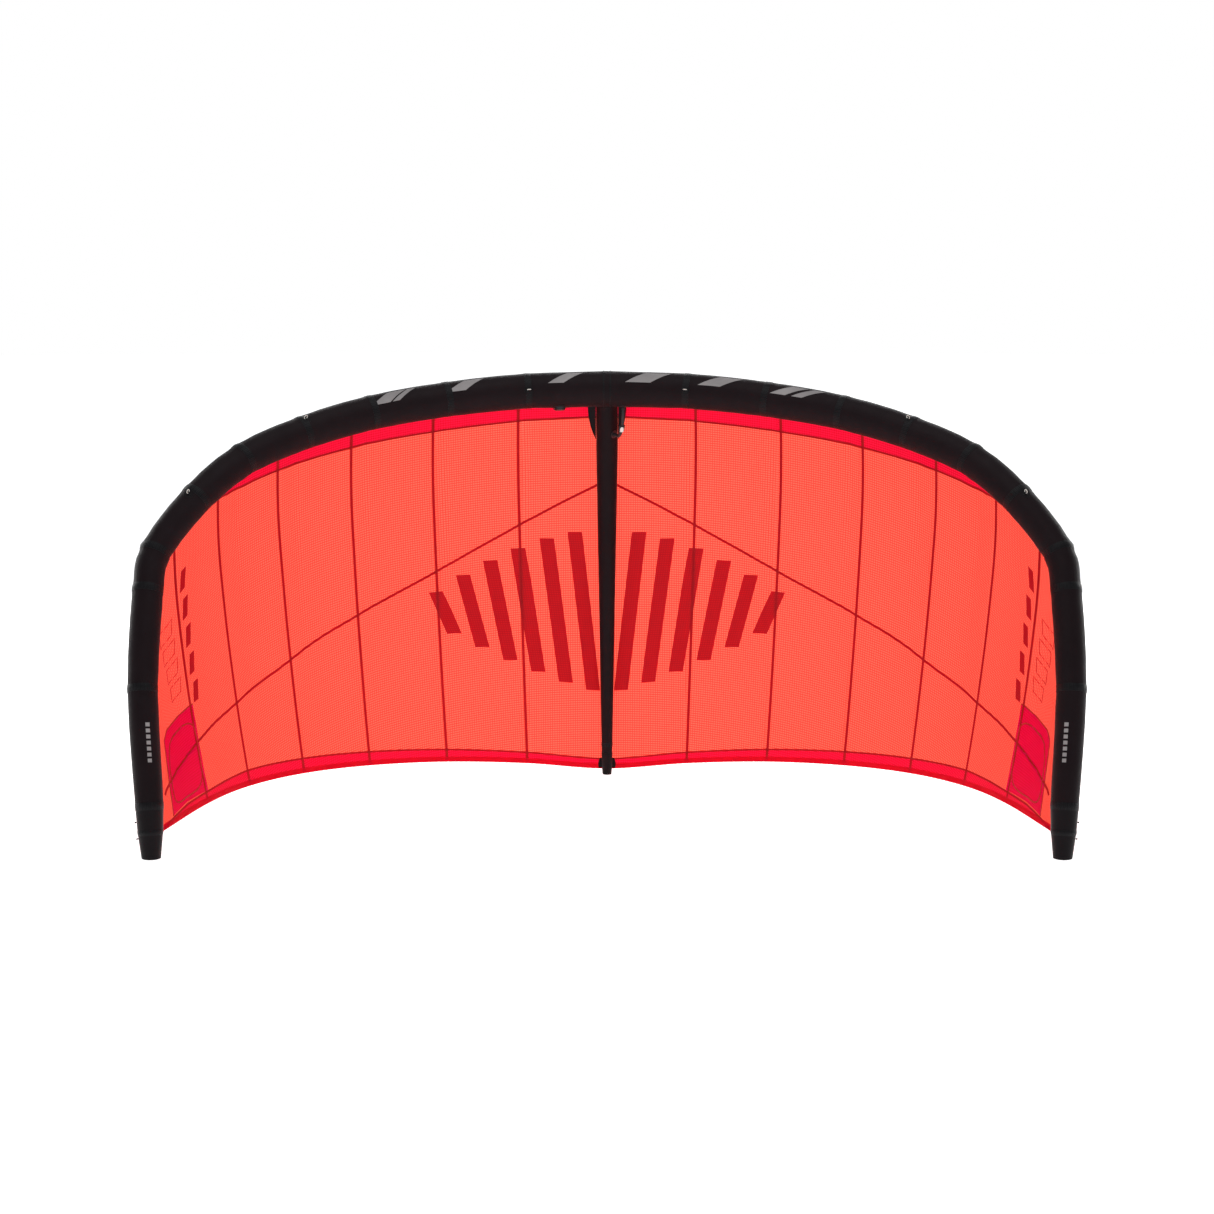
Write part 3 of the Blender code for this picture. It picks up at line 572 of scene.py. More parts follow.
# Name, colour, thread, roughness, stitch length, distance between rows, and light that passes.
TAPES = {
    "ring": ("seam_tape_wingtip", (0.46, 0.005, 0.018), (0.6, 0.07, 0.06), 0.55, 0.0034, 0.003),
    "seam": ("seam_tape", DARK_RED, (0.75, 0.10, 0.08), 0.55, 0.0034, 0.003, (0.62, 0.035, 0.09)),
    "hem": ("hem_crimson", (0.75, 0.004, 0.035), (0.45, 0.003, 0.02), 0.5, 0.005, 0.006, (0.95, 0.04, 0.16)),
    "band": ("seam_band_black", (0.0040, 0.0034, 0.0042), (0.022, 0.021, 0.026), 0.42, 0.0042, 0.008),
}
LOOKS = {
    **{key: cloth_material(*values) for key, values in CLOTHS.items()},
    **{key: stitched_material(*values) for key, values in TAPES.items()},
    # The dark red in these two black cloths' colours is painted red glow: it stands in for the red light
    # that the canopy throws onto the casing, the strut and the patches.
    "dacron": dacron_material("dacron_black_painted_red_glow", (0.0090, 0.0040, 0.0048), (0.016, 0.014, 0.018)),
    "patch": dacron_material("dacron_patch_painted_red_glow", (0.0062, 0.0040, 0.0046), (0.020, 0.018, 0.022), 0.44),
    "print": dacron_material("grey_print", (0.27, 0.25, 0.25), (0.34, 0.32, 0.32), 0.55),
    "plastic": moulded_material("moulded_black", (0.011, 0.010, 0.012), 0.38),
    "rubber": moulded_material("rubber_black", (0.011, 0.010, 0.012), 0.6, 160.0),
    "clip": moulded_material("clip_pale", (0.62, 0.61, 0.58), 0.32, 300.0, 0.2),
    "cord": braid_material("braided_line", (0.78, 0.76, 0.70), (0.30, 0.28, 0.25)),
    "dark_cord": braid_material("braided_line_black", (0.035, 0.035, 0.038), (0.006, 0.006, 0.007)),
    "film": film_material("bladder_film"),
}

# ---------------------------------------------------------------- mesh helpers


def finish_mesh(name, bm, look, body="kite", slot=None, smooth=40):
    bmesh.ops.recalc_face_normals(bm, faces=bm.faces)
    mesh = bpy.data.meshes.new(name)
    bm.to_mesh(mesh)
    bm.free()
    piece = bpy.data.objects.new(name, mesh)
    bpy.context.scene.collection.objects.link(piece)
    for each in look if isinstance(look, tuple) else (look,):
        mesh.materials.append(LOOKS[each])
    mesh.shade_smooth()
    mesh.set_sharp_from_angle(angle=math.radians(smooth))
    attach(piece, body)
    return piece


def grid_mesh(bm, rows, closed=False, uvs=None, material_of=None):
    """Quads over rows of points, with coordinates in metres; returns the rows of vertices."""
    layer = bm.loops.layers.uv.get("metres") or bm.loops.layers.uv.new("metres")
    verts = [[bm.verts.new(point) for point in row] for row in rows]
    count = len(rows[0])
    if uvs is None:
        downs = [0.0]
        for near, far in zip(rows, rows[1:]):
            downs.append(downs[-1] + (far[count // 2] - near[count // 2]).length)
        uvs = []
        for row, down in zip(rows, downs):
            overs = [0.0]
            for a, b in zip(row, row[1:] + row[:1]):
                overs.append(overs[-1] + (b - a).length)
            uvs.append([(over, down) for over in overs])
    for j in range(len(rows) - 1):
        for i in range(count if closed else count - 1):
            k = (i + 1) % count
            face = bm.faces.new((verts[j][i], verts[j][k], verts[j + 1][k], verts[j + 1][i]))
            corners = (uvs[j][i], uvs[j][i + 1], uvs[j + 1][i + 1], uvs[j + 1][i])
            for loop, corner in zip(face.loops, corners):
                loop[layer].uv = corner
            if material_of:
                face.material_index = material_of(j, i)
    return verts


def loft(name, groups, look, **options):
    """One piece made of open-ended lofts through rings of points."""
    bm = bmesh.new()
    for rings in groups:
        grid_mesh(bm, rings, closed=True)
    return finish_mesh(name, bm, look, **options)


def cup(name, rings, look, **options):
    """A loft whose last ring is closed by a face."""
    bm = bmesh.new()
    verts = grid_mesh(bm, rings, closed=True)
    bm.faces.new(verts[-1])
    return finish_mesh(name, bm, look, **options)


def solid_tube(name, rings, look, **options):
    bm = bmesh.new()
    tube_mesh(bm, rings)
    return finish_mesh(name, bm, look, **options)


def tube_mesh(bm, rings):
    verts = grid_mesh(bm, rings, closed=True)
    bm.faces.new(list(reversed(verts[0])))
    bm.faces.new(verts[-1])


def slab(name, rows_of, look, thickness, **options):
    """Closed sheet; rows_of(lift) gives its rows of points at a height over the middle surface."""
    bm = bmesh.new()
    top = grid_mesh(bm, rows_of(thickness / 2))
    low = grid_mesh(bm, rows_of(-thickness / 2))
    rim_top = top[0] + [r[-1] for r in top[1:]] + top[-1][-2::-1] + [r[0] for r in top[-2:0:-1]]
    rim_low = low[0] + [r[-1] for r in low[1:]] + low[-1][-2::-1] + [r[0] for r in low[-2:0:-1]]
    for i in range(len(rim_top)):
        k = (i + 1) % len(rim_top)
        bm.faces.new((rim_top[i], rim_top[k], rim_low[k], rim_low[i]))
    return finish_mesh(name, bm, look, **options)


def strip_rings(path, half, height, ring_closed):
    """Rings of a low, crowned strip that follows a path of canopy coordinates."""
    section = ((-1, -0.7), (0, -1), (1, -0.7), (1, 0.7), (0, 1), (-1, 0.7))
    rings = []
    last = len(path) - 1
    for index, place in enumerate(path):
        point, normal = cloth_uv(*place)
        if ring_closed:
            ahead, behind = path[(index + 1) % last], path[(index - 1) % last]
        else:
            ahead, behind = path[min(index + 1, last)], path[max(index - 1, 0)]
        tangent = (cloth_uv(*ahead)[0] - cloth_uv(*behind)[0]).normalized()
        side = normal.cross(tangent).normalized()
        rings.append([point + side * half * a + normal * height * b for a, b in section])
    return rings


def strips(name, paths, look, half=SEAM_HALF, height=0.0010, **options):
    bm = bmesh.new()
    for path in paths:
        tube_mesh(bm, strip_rings(path, half, height, path[0] == path[-1]))
    return finish_mesh(name, bm, look, **options)


def spread(start, end, count):
    return [start + (end - start) * step / (count - 1) for step in range(count)]


def polyline(points, steps):
    path = []
    for a, b in zip(points, points[1:]):
        path += [tuple(p + (q - p) * step / steps for p, q in zip(a, b)) for step in range(steps)]
    return path + [tuple(points[-1])]


def smooth_curve(points, steps):
    """Evenly stepped curve through points of two coordinates."""
    rows = [Vector(point) for point in points]
    rows = [rows[0] * 2 - rows[1]] + rows + [rows[-1] * 2 - rows[-2]]
    path = []
    for four in zip(rows, rows[1:], rows[2:], rows[3:]):
        path += [tuple(spline(*four, step / steps)) for step in range(steps)]
    return path + [tuple(rows[-2])]


def rope_rings(points, radius, sides=12):
    """Rings of a round line through points, turned as little as can be from one to the next."""
    rings = []
    side = None
    for index, point in enumerate(points):
        ahead = points[min(index + 1, len(points) - 1)] - points[max(index - 1, 0)]
        axis = ahead.normalized()
        if side is None:
            side = axis.orthogonal().normalized()
        side = (side - axis * side.dot(axis)).normalized()
        other = axis.cross(side)
        arms = [side * math.cos(a) + other * math.sin(a) for a in turns(sides)]
        rings.append([point + arm * radius for arm in arms])
    return rings


def closed_rope(bm, points, radius, sides):
    """A round line whose last point is its first."""
    rings = rope_rings(points[:-1], radius, sides)
    grid_mesh(bm, rings + [rings[0]], closed=True)
    bmesh.ops.remove_doubles(bm, verts=bm.verts, dist=MERGE_DISTANCE)


# ---------------------------------------------------------------- camera, floor and light


CAMERA_LENS = 72.06
CAMERA_PLACE = (0.0, -11.098, 2.528)
CAMERA_DOWN = math.radians(8)
FLOOR_RADIUS = 60.0
FLOOR_GLOW = 0.80
ROOM_COLOUR = (0.96, 0.98, 1.0, 1.0)
ROOM_LIGHT = 0.42
# Name, place, point it aims at, width in metres and power in watts.
LIGHTS = (
    ("back", (0.0, 7.0, 2.6), (0.0, 0.2, 0.9), 7.0, 520.0),
    ("back_left", (-6.5, 4.0, 2.6), (-1.2, 0.0, 0.9), 4.0, 210.0),
    ("back_right", (6.5, 4.0, 2.6), (1.2, 0.0, 0.9), 4.0, 210.0),
    ("top", (0.0, -1.5, 6.5), (0.0, 0.2, 1.0), 5.0, 130.0),
)


def make_stage():
    data = bpy.data.cameras.new("camera")
    data.lens = CAMERA_LENS
    data.sensor_width = 36.0
    camera = bpy.data.objects.new("camera", data)
    camera.location = CAMERA_PLACE
    camera.rotation_euler = (math.pi / 2 - CAMERA_DOWN, 0.0, 0.0)
    bpy.context.scene.collection.objects.link(camera)
    bpy.context.scene.camera = camera
    bm = bmesh.new()
    bmesh.ops.create_circle(bm, cap_ends=True, segments=96, radius=FLOOR_RADIUS)
    mesh = bpy.data.meshes.new("floor")
    bm.to_mesh(mesh)
    bm.free()
    floor = bpy.data.objects.new("floor", mesh)
    bpy.context.scene.collection.objects.link(floor)
    n = Nodes("floor_white")
    n.link(n.mix(n.noise(0.8), (0.90, 0.90, 0.90), (0.94, 0.94, 0.94)), n.shader.inputs["Base Color"])
    n.shader.inputs["Roughness"].default_value = 0.9
    n.shader.inputs["Emission Color"].default_value = (1.0, 1.0, 1.0, 1.0)
    n.shader.inputs["Emission Strength"].default_value = FLOOR_GLOW
    mesh.materials.append(n.material)
    floor.location = (0.0, 0.0, -0.0005)
    world = bpy.data.worlds.new("studio")
    bpy.context.scene.world = world
    world.use_nodes = True
    tree = world.node_tree
    soft = tree.nodes["Background"]
    soft.inputs[0].default_value = ROOM_COLOUR
    soft.inputs[1].default_value = ROOM_LIGHT
    white = tree.nodes.new("ShaderNodeBackground")
    white.inputs[1].default_value = 1.0
    white.inputs[0].default_value = (1.0, 1.0, 1.0, 1.0)
    seen = tree.nodes.new("ShaderNodeLightPath")
    both = tree.nodes.new("ShaderNodeMixShader")
    tree.links.new(seen.outputs["Is Camera Ray"], both.inputs[0])
    tree.links.new(soft.outputs[0], both.inputs[1])
    tree.links.new(white.outputs[0], both.inputs[2])
    tree.links.new(both.outputs[0], tree.nodes["World Output"].inputs["Surface"])
    for light in LIGHTS:
        add_light(*light)
    bpy.context.scene.view_settings.view_transform = "Standard"


def add_light(name, place, target, size, power):
    data = bpy.data.lights.new(name, "AREA")
    data.shape = "SQUARE"
    data.size = size
    data.energy = power
    lamp = bpy.data.objects.new(name, data)
    lamp.location = place
    lamp.rotation_euler = (Vector(target) - Vector(place)).to_track_quat("-Z", "Y").to_euler()
    lamp.visible_camera = False
    bpy.context.scene.collection.objects.link(lamp)


# ---------------------------------------------------------------- canopy


# The seam that carries load from the centre to the wingtip, as seams across and part of the chord.
LOAD_SEAM = (
    (0.02, 0.243), (0.55, 0.303), (1.48, 0.412), (2.45, 0.515), (3.55, 0.612), (4.35, 0.683),
    (4.93, 0.722), (5.35, 0.747), (5.88, 0.774), (6.20, 0.792), (6.43, 0.792), (6.66, 0.745),
)


def canopy_columns():
    count = 2 * PANELS * PANEL_COLUMNS + 1
    return [round(u, 5) for u in spread(-float(PANELS), float(PANELS), count)]


def canopy_rows(u):
    front, rear = le_band(u), te_band(u)
    rows = spread(0.0, front, BAND_ROWS)[:-1] + spread(front, rear, FIELD_ROWS)[:-1]
    return rows + spread(rear, 1.0, BAND_ROWS)


def make_canopy():
    columns = canopy_columns()
    rows = [[cloth(u, t) for t in canopy_rows(u)] for u in columns]
    widths = []
    for u in columns:
        station = abs(u)
        panel = min(int(station), PANELS - 1)
        widths.append([])
        for t in canopy_rows(u):
            width = (cloth(panel + 1.0, t) - cloth(float(panel), t)).length
            chord = (cloth(station, 1.0) - cloth(station, 0.0)).length
            widths[-1].append(((station - panel) * width * (1 if u > 0 else -1), t * chord))

    def material_of(j, i):
        return 1 if i < BAND_ROWS - 1 or i >= BAND_ROWS + FIELD_ROWS - 2 else 0

    bm = bmesh.new()
    grid_mesh(bm, rows, uvs=widths, material_of=material_of)
    nodes = [f"canopy_panel_{k + 1}_{side}" for side, _ in SIDES for k in range(PANELS)]
    canopy = finish_mesh("canopy_cloth", bm, ("ripstop", "crimson"), slot="canopy", smooth=80)
    add_wall(canopy, CLOTH_THICKNESS, 0)
    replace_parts(canopy, *nodes)
    return canopy


def make_canopy_seams():
    pieces = []
    for side, sign in SIDES:
        paths = [[(sign * u, t) for t in spread(0.006, 0.994, 70)] for u in range(1, PANELS)]
        pieces.append(strips(f"chord_seams_{side}", paths, "seam", slot="canopy"))
        path = [(sign * u, t) for u, t in smooth_curve(LOAD_SEAM, 9)]
        pieces.append(strips(f"load_seam_{side}", [path], "seam", 0.0060, 0.0013, slot="canopy"))
    centre = [(0.0, t) for t in spread(0.006, 0.994, 70)]
    pieces.append(strips("centre_seam", [centre], "seam", 0.0085, slot="canopy"))
    edge = [(u, le_band(u)) for u in spread(-6.3, 6.3, 190)]
    rear = [(u, te_band(u)) for u in spread(-6.9, 6.9, 210)]
    pieces.append(strips("front_band_seam", [edge], "seam", 0.0050, 0.0012, slot="canopy"))
    pieces.append(strips("rear_band_seam", [rear], "seam", 0.0044, 0.0012, slot="canopy"))
    return pieces


TIP_PATCH = ((5.95, 0.645), (6.44, 0.612), (6.66, 0.940), (5.95, 0.958))


def tip_place(across, down):
    """Surface coordinates inside the wingtip patch, from two parts between 0 and 1."""
    a, b, c, d = TIP_PATCH
    top = tuple(p + (q - p) * across for p, q in zip(a, b))
    foot = tuple(p + (q - p) * across for p, q in zip(d, c))
    return tuple(p + (q - p) * down for p, q in zip(top, foot))


def rounded(angle, power=0.55):
    """Cosine of an angle, drawn out towards a square's."""
    return math.copysign(abs(math.cos(angle)) ** power, math.cos(angle))


def make_tip_patches():
    pieces = []
    for side, sign in SIDES:
        def rows_of(lift):
            places = [[tip_place(a, b) for a in spread(0, 1, 13)] for b in spread(0, 1, 17)]
            return [[cloth(sign * u, t, lift) for u, t in row] for row in places]

        pieces.append(slab(f"tip_patch_{side}", rows_of, "tip", 0.0018, slot="hem"))
        corners = [(sign * u, t) for u, t in TIP_PATCH[:3]]
        edge = polyline(corners, 14)
        ring = []
        for angle in spread(0, math.tau, 97)[:-1]:
            u, t = tip_place(0.49 + 0.43 * rounded(angle), 0.54 + 0.40 * rounded(angle - math.pi / 2))
            ring.append((sign * u, t))
        ring.append(ring[0])
        pieces.append(strips(f"tip_patch_seam_{side}", [edge], "ring", 0.0034, 0.0014, slot="hem"))
        pieces.append(strips(f"tip_ring_{side}", [ring], "ring", 0.0040, 0.0016, slot="hem"))
    return pieces


def make_insets():
    """Plain slanted bars of darker cloth let into the middle, and small ones by the wingtips."""
    pieces = []
    for side, sign in SIDES:
        for step in range(INSET_COUNT):
            middle = 0.27 + INSET_STEP * step
            reach = 0.215 * (1 - (middle / 2.35) ** 1.6)

            def bar(lift, middle=middle, reach=reach):
                rows = []
                for part in spread(-1, 1, 41):
                    t = INSET_MIDDLE + part * reach
                    slant = middle - 0.10 * part
                    places = spread(slant - INSET_HALF_WIDTH, slant + INSET_HALF_WIDTH, 9)
                    rows.append([cloth(sign * u, t, lift) for u in places])
                return rows

            pieces.append(slab(f"inset_{step + 1}_{side}", bar, "inset", INSET_THICKNESS, slot="canopy"))
        for step in range(TIP_BARS):
            start = 0.185 + 0.098 * step

            def block(lift, start=start):
                rows = []
                for t in spread(start, start + 0.066, 6):
                    shift = (t - start) * 0.9
                    rows.append([cloth(sign * u, t, lift) for u in spread(5.74 + shift, 5.86 + shift, 4)])
                return rows

            pieces.append(slab(f"tip_bar_{step + 1}_{side}", block, "inset", INSET_THICKNESS, slot="canopy"))
        frames = []
        for step in range(4):
            start = 0.30 + 0.072 * step
            box = ((6.05, start), (6.16, start), (6.18, start + 0.048), (6.07, start + 0.048), (6.05, start))
            frames.append(polyline([(sign * u, t) for u, t in box], 6))
        pieces.append(strips(f"tip_outlines_{side}", frames, "seam", 0.0014, 0.0009, slot="canopy"))
    return pieces


def make_hem():
    """The folded trailing edge, crowned over its cord, with a finely scalloped rim."""
    rings = []
    travelled = 0.0
    before = None
    for u in spread(-6.98, 6.98, 560):
        rear, normal = cloth_frame(round(u, 5), 1.0)
        if before is not None:
            travelled += (rear - before).length
        before = rear
        back = (rear - cloth(u, 0.97)).normalized()
        scallop = 0.0011 * abs(math.sin(travelled * math.pi / SCALLOP_PITCH))
        section = (
            (-HEM_WIDTH, -0.0011), (-0.012, -0.0014), (-0.004, -0.0018), (0.0006 + scallop, -0.0013),
            (0.0016 + scallop, 0.0), (0.0006 + scallop, 0.0013), (-0.004, 0.0018), (-0.012, 0.0014),
            (-HEM_WIDTH, 0.0011),
        )
        rings.append([rear + back * a + normal * b for a, b in section])
    hem = solid_tube("trailing_hem", rings, "hem", slot="hem")
    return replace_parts(hem, "trailing_edge_hem")


# ---------------------------------------------------------------- leading edge


def ring(station, growth=0.0, sides=TUBE_SIDES, puckered=True):
    return [tube_point(station, angle, growth, puckered) for angle in turns(sides)]


def even_stations(start, end):
    """Stations along one segment, closer together beside its seams."""
    parts = [0.0, 0.012, 0.03, 0.06, 0.10, 0.15, 0.22, 0.32, 0.44]
    parts += [1 - part for part in reversed(parts)]
    return [start + (end - start) * part for part in parts]


def add_wall(piece, thickness, offset=-1):
    wall = piece.modifiers.new("wall", "SOLIDIFY")
    wall.thickness = thickness
    wall.offset = offset


def shell(name, rings):
    piece = loft(name, [rings], "dacron", slot="casing")
    add_wall(piece, CASING_WALL)
    return piece


def make_casing():
    centre = shell("casing_centre", [ring(s) for s in spread(-1.0, 1.0, 37)])
    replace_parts(centre, "le_segment_centre")
    for side, sign in SIDES:
        for station in range(1, CAP_STATION):
            rings = [ring(sign * s) for s in even_stations(station, station + 1)]
            piece = shell(f"casing_{station}_{side}", rings)
            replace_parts(piece, f"le_segment_{station}_{side}")


def make_caps():
    """Reinforced wingtips: they taper to a flat, closed end."""
    for side, sign in SIDES:
        stations = spread(10.0, 11.0, 10) + spread(11.0, 11.9, 12)[1:] + [11.94, 11.97, 11.99]
        rings = [ring(sign * s, 0.0006, CAP_SIDES) for s in stations]
        foot = station_centre(FOOT_STATION)
        for inset, height in ((0.0, 0.0006), (0.0015, 0.0), (0.012, 0.0), (0.030, 0.0)):
            arms = [straight_tube(FOOT_STATION, angle) - foot for angle in turns(CAP_SIDES)]
            flat = [foot + arm.normalized() * (arm.length - inset) for arm in arms]
            rings.append([mirrored(Vector((p.x, p.y, height)), sign) for p in flat])
        cap = cup(f"tip_casing_{side}", rings, "patch", slot="casing", smooth=50)
        add_wall(cap, CAP_WALL)
        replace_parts(cap, f"wingtip_cap_{side}")


def segment_length(station):
    return (station_centre(station + 1) - station_centre(station)).length


def band_rings(station, half, height, sign):
    """A tape round the tube, centred on a seam, with soft edges sunk a little into the casing."""
    crown = ((-0.9, 1), (-0.3, 1), (0, 1.25), (0.3, 1), (0.9, 1))
    profile = [(-1, -0.0004), (-1, 0.6 * height), *((part, lift * height) for part, lift in crown)]
    profile += [(1, 0.6 * height), (1, -0.0004)]
    rings = []
    for part, growth in profile:
        away = half * part / segment_length(station - 1 if part < 0 else station)
        rings.append(ring(sign * (station + away), growth, TUBE_SIDES, False))
    return rings


def make_seam_bands():
    for side, sign in SIDES:
        for station in range(1, CAP_STATION + 1):
            rings = band_rings(station, BAND_HALF, BAND_HEIGHT, sign)
            loft(f"seam_band_{station}_{side}", [rings], "band", slot="casing")
        rings = band_rings(TIP_BAND_STATION, 0.011, 0.0018, sign)
        loft(f"tip_band_{side}", [rings], "band", slot="casing")
    pair = []
    for station in (-0.042, 0.042):
        profile = ((-1, -0.0004), (-1, 0.0016), (0, 0.0026), (1, 0.0016), (1, -0.0004))
        pair.append([ring(station + 0.0100 * part, lift, TUBE_SIDES, False) for part, lift in profile])
    loft("centre_bands", pair, "band", slot="casing")


def make_attachment_tape():
    """Tape that sews the canopy's front edge to the casing, from wingtip to wingtip."""
    rings = []
    for u in spread(-6.97, 6.97, 420):
        station = math.copysign(station_at(abs(u)), u)
        angle = attach_angle(station)
        foot = ((17, 0.0003), (15, 0.0014), (6, 0.0016))
        on_tube = [tube_point(station, angle - math.radians(d), g, False) for d, g in foot]
        over = [cloth(u, 0.0, 0.0012), cloth(u, 0.008, 0.0011), cloth(u, 0.0105, 0.0002)]
        under = [cloth(u, 0.008, -0.0009), cloth(u, 0.0, -0.0009)]
        under += [tube_point(station, angle - math.radians(6), -0.0004, False)]
        rings.append(on_tube + over + under)
    return solid_tube("canopy_attachment_tape", rings, "band", slot="casing", smooth=60)


def make_bladders():
    rings = [ring(s, -FILM_GAP, 48, False) for s in spread(-10.9, 10.9, 200)]
    film = solid_tube("leading_edge_film", rings, "film", slot="bladder", smooth=70)
    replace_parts(film, "leading_edge_bladder")
    rings = [[strut_point(t, a, -FILM_GAP) for a in turns(40)] for t in spread(0.068, 0.952, 50)]
    film = solid_tube("strut_film", rings, "film", slot="bladder", smooth=70)
    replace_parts(film, "strut_bladder")


def tube_print(name, stations, angles, slant=0.0):
    """Thin printed patch that lies on the casing; a slant shears it along the tube."""
    def rows_of(height):
        rows = []
        for index, angle in enumerate(angles):
            shear = slant * (index / (len(angles) - 1) - 0.5)
            rows.append([tube_point(s + shear, angle, PRINT_LIFT + height, False) for s in stations])
        return rows

    slab(name, rows_of, "print", PRINT_THICKNESS, slot="casing")


def make_prints():
    """Plain slanted blocks on the leading edge, and small dashes on the wingtips."""
    blocks = (
        (-2.78, 0.12), (-2.58, 0.05), (-1.78, 0.12), (-0.52, 0.10),
        (0.52, 0.16), (1.42, 0.14), (2.30, 0.10), (2.55, 0.07),
    )
    for number, (station, half) in enumerate(blocks, start=1):
        angles = [math.radians(a) for a in spread(218, 262, 12)]
        stations = spread(station - half, station + half, 14)
        tube_print(f"print_block_{number}", stations, angles, 0.26)
    for side, sign in SIDES:
        for number in range(7):
            start = 9.295 + 0.047 * number
            angles = [math.radians(a) for a in spread(220, 236, 6)]
            stations = [sign * s for s in spread(start, start + 0.030, 5)]
            tube_print(f"print_dash_{number + 1}_{side}", stations, angles)


# ---------------------------------------------------------------- strut


def make_strut():
    """Inflated strut: long seams down its sides, a saddle round the leading edge and a padded tail."""
    angles = turns(STRUT_SIDES)
    limit = LEADING_EDGE[0][3] + 0.0026
    centre = station_centre(0)
    rings = []
    for index, t in enumerate(spread(STRUT_START, STRUT_CASING_END, 84)):
        row = []
        for angle in angles:
            ripple = 0.0007 * noise.noise(Vector((math.cos(angle) * 2, math.sin(angle) * 2, t * 30)))
            seam = 0.0009 * math.exp(-((math.sin(angle) / 0.06) ** 2))
            point = strut_point(t, angle, ripple - seam)
            flat = Vector((0.0, point.y - centre.y, point.z - centre.z))
            if flat.length < limit and index < 12:
                point = Vector((point.x, centre.y, centre.z)) + flat.normalized() * limit
            row.append(point)
        rings.append(row)
    strut = shell("strut_cloth", rings)
    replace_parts(strut, "strut_casing")
    profile = ((-1, -0.0003), (-1, 0.0009), (0, 0.0014), (1, 0.0009), (1, -0.0003))
    band = [[strut_point(0.93 + 0.0052 * part, a, lift) for a in angles] for part, lift in profile]
    loft("strut_band", [band], "band", slot="casing")
    for side, sign in SIDES:
        rings = []
        for t in spread(0.055, 0.955, 90):
            on_cloth = cloth(sign * 0.034, t, -0.0008)
            on_strut = strut_point(t, math.pi / 2 - sign * math.radians(128), 0.0004)
            inner = strut_point(t, math.pi / 2 - sign * math.radians(136), 0.0004)
            lip = cloth(sign * 0.052, t, -0.0008)
            normal = cloth_frame(0.0, round(t, 5))[1]
            halfway = on_strut.lerp(on_cloth, 0.5)
            line = [lip, on_cloth, halfway, on_strut, inner, halfway - Vector((sign * 0.0008, 0, 0))]
            rings.append(line + [on_cloth - normal * 0.0007, lip - normal * 0.0006])
        solid_tube(f"strut_flange_{side}", rings, "band", slot="casing", smooth=60)
    make_strut_tail(angles)


def make_strut_tail(angles):
    heel = strut_centre(HEEL_CHORD) + strut_axis(HEEL_CHORD) * HEEL_REACH
    foot = Vector((0.0, heel.y, 0.0))

    def foot_ring(radius, height):
        return [foot + Vector((math.cos(a) * radius, -math.sin(a) * radius, height)) for a in angles]

    sleeve = [(0.9515, 0.0), (0.9515, 0.0011), (0.958, 0.0012), (0.968, 0.0008), (0.978, 0.0003)]
    sleeve.append((HEEL_CHORD, 0.0))
    rings = [[strut_point(t, a, growth) for a in angles] for t, growth in sleeve]
    waist = rings[-1]
    for part, radius in ((0.45, 0.0242), (0.8, 0.0240)):
        rings.append([a.lerp(b, part) for a, b in zip(waist, foot_ring(radius, 0.006))])
    sole = ((0.0236, 0.0055), (0.0226, 0.0018), (0.0213, 0.0003), (FOOT_RADIUS - 0.001, 0.0), (0.010, 0.0))
    rings += [foot_ring(radius, height) for radius, height in sole]
    tail = cup("strut_tail", rings, "patch", slot="casing", smooth=55)
    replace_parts(tail, "strut_tail_cap")
    for side, sign in SIDES:
        def tab(lift, sign=sign):
            rows = []
            for t in spread(0.972, 0.9985, 7):
                widen = 0.010 + 0.020 * math.sin((t - 0.972) / 0.0265 * math.pi * 0.8)
                overs = spread(0.045, 0.045 + widen + 0.035, 6)
                rows.append([cloth(sign * u, t, -0.0036 + lift) for u in overs])
            return rows

        slab(f"tail_tab_{side}", tab, "band", 0.0022, slot="casing")


def make_gussets():
    """Webs of doubled cloth between the strut and the leading edge, drawn tight, with bound edges."""
    for side, sign in SIDES:
        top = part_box(f"strut_gusset_{side}")[1].z
        inner = STRUT_RADIUS + 0.0009
        axis = strut_axis(GUSSET_CHORD)
        facing = Vector((1, 0, 0)).cross(axis)
        frame_x = Vector((sign, 0.0, 0.0))
        base = strut_centre(GUSSET_CHORD)
        start = base + axis * ((top - base.z) / axis.z)

        def rows_of(lift, frame_x=frame_x, start=start, axis=axis, facing=facing):
            rows = []
            for part in spread(0, 1, 22):
                wide = GUSSET_WIDTH * (1 - part**GUSSET_BULGE) + 0.0006
                row = []
                for over in spread(0, 1, 8):
                    dish = 0.0022 * math.sin(math.pi * over) * math.sin(math.pi * part)
                    place = start + frame_x * (inner + wide * over) + axis * GUSSET_LENGTH * part
                    row.append(place + facing * (dish + lift))
                rows.append(row)
            return rows

        web = slab(f"gusset_web_{side}", rows_of, "patch", 0.0012, slot="casing")
        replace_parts(web, f"strut_gusset_{side}")
        rim = [row[-1] for row in rows_of(0.0)]
        solid_tube(f"gusset_binding_{side}", rope_rings(rim, 0.0016, 10), "band", slot="casing")


# ---------------------------------------------------------------- valve, hose, loops and pigtails


def local_frame(origin, z_axis, x_hint):
    z = Vector(z_axis).normalized()
    x = Vector(x_hint)
    x = (x - z * x.dot(z)).normalized()
    return Matrix.Translation(origin) @ Matrix((x, z.cross(x), z)).transposed().to_4x4()


def surface_frame(station, lean, sign):
    """Frame on the straight tube: Z out of the surface, leaning from aft towards the rider, X along it."""
    angle = math.pi / 2 + lean
    origin = mirrored(straight_tube(station, angle), sign)
    out = origin - mirrored(straight_tube(station, angle, -0.01), sign)
    along = mirrored(straight_tube(station + 0.1, angle) - straight_tube(station - 0.1, angle), sign)
    return local_frame(origin, out, along)


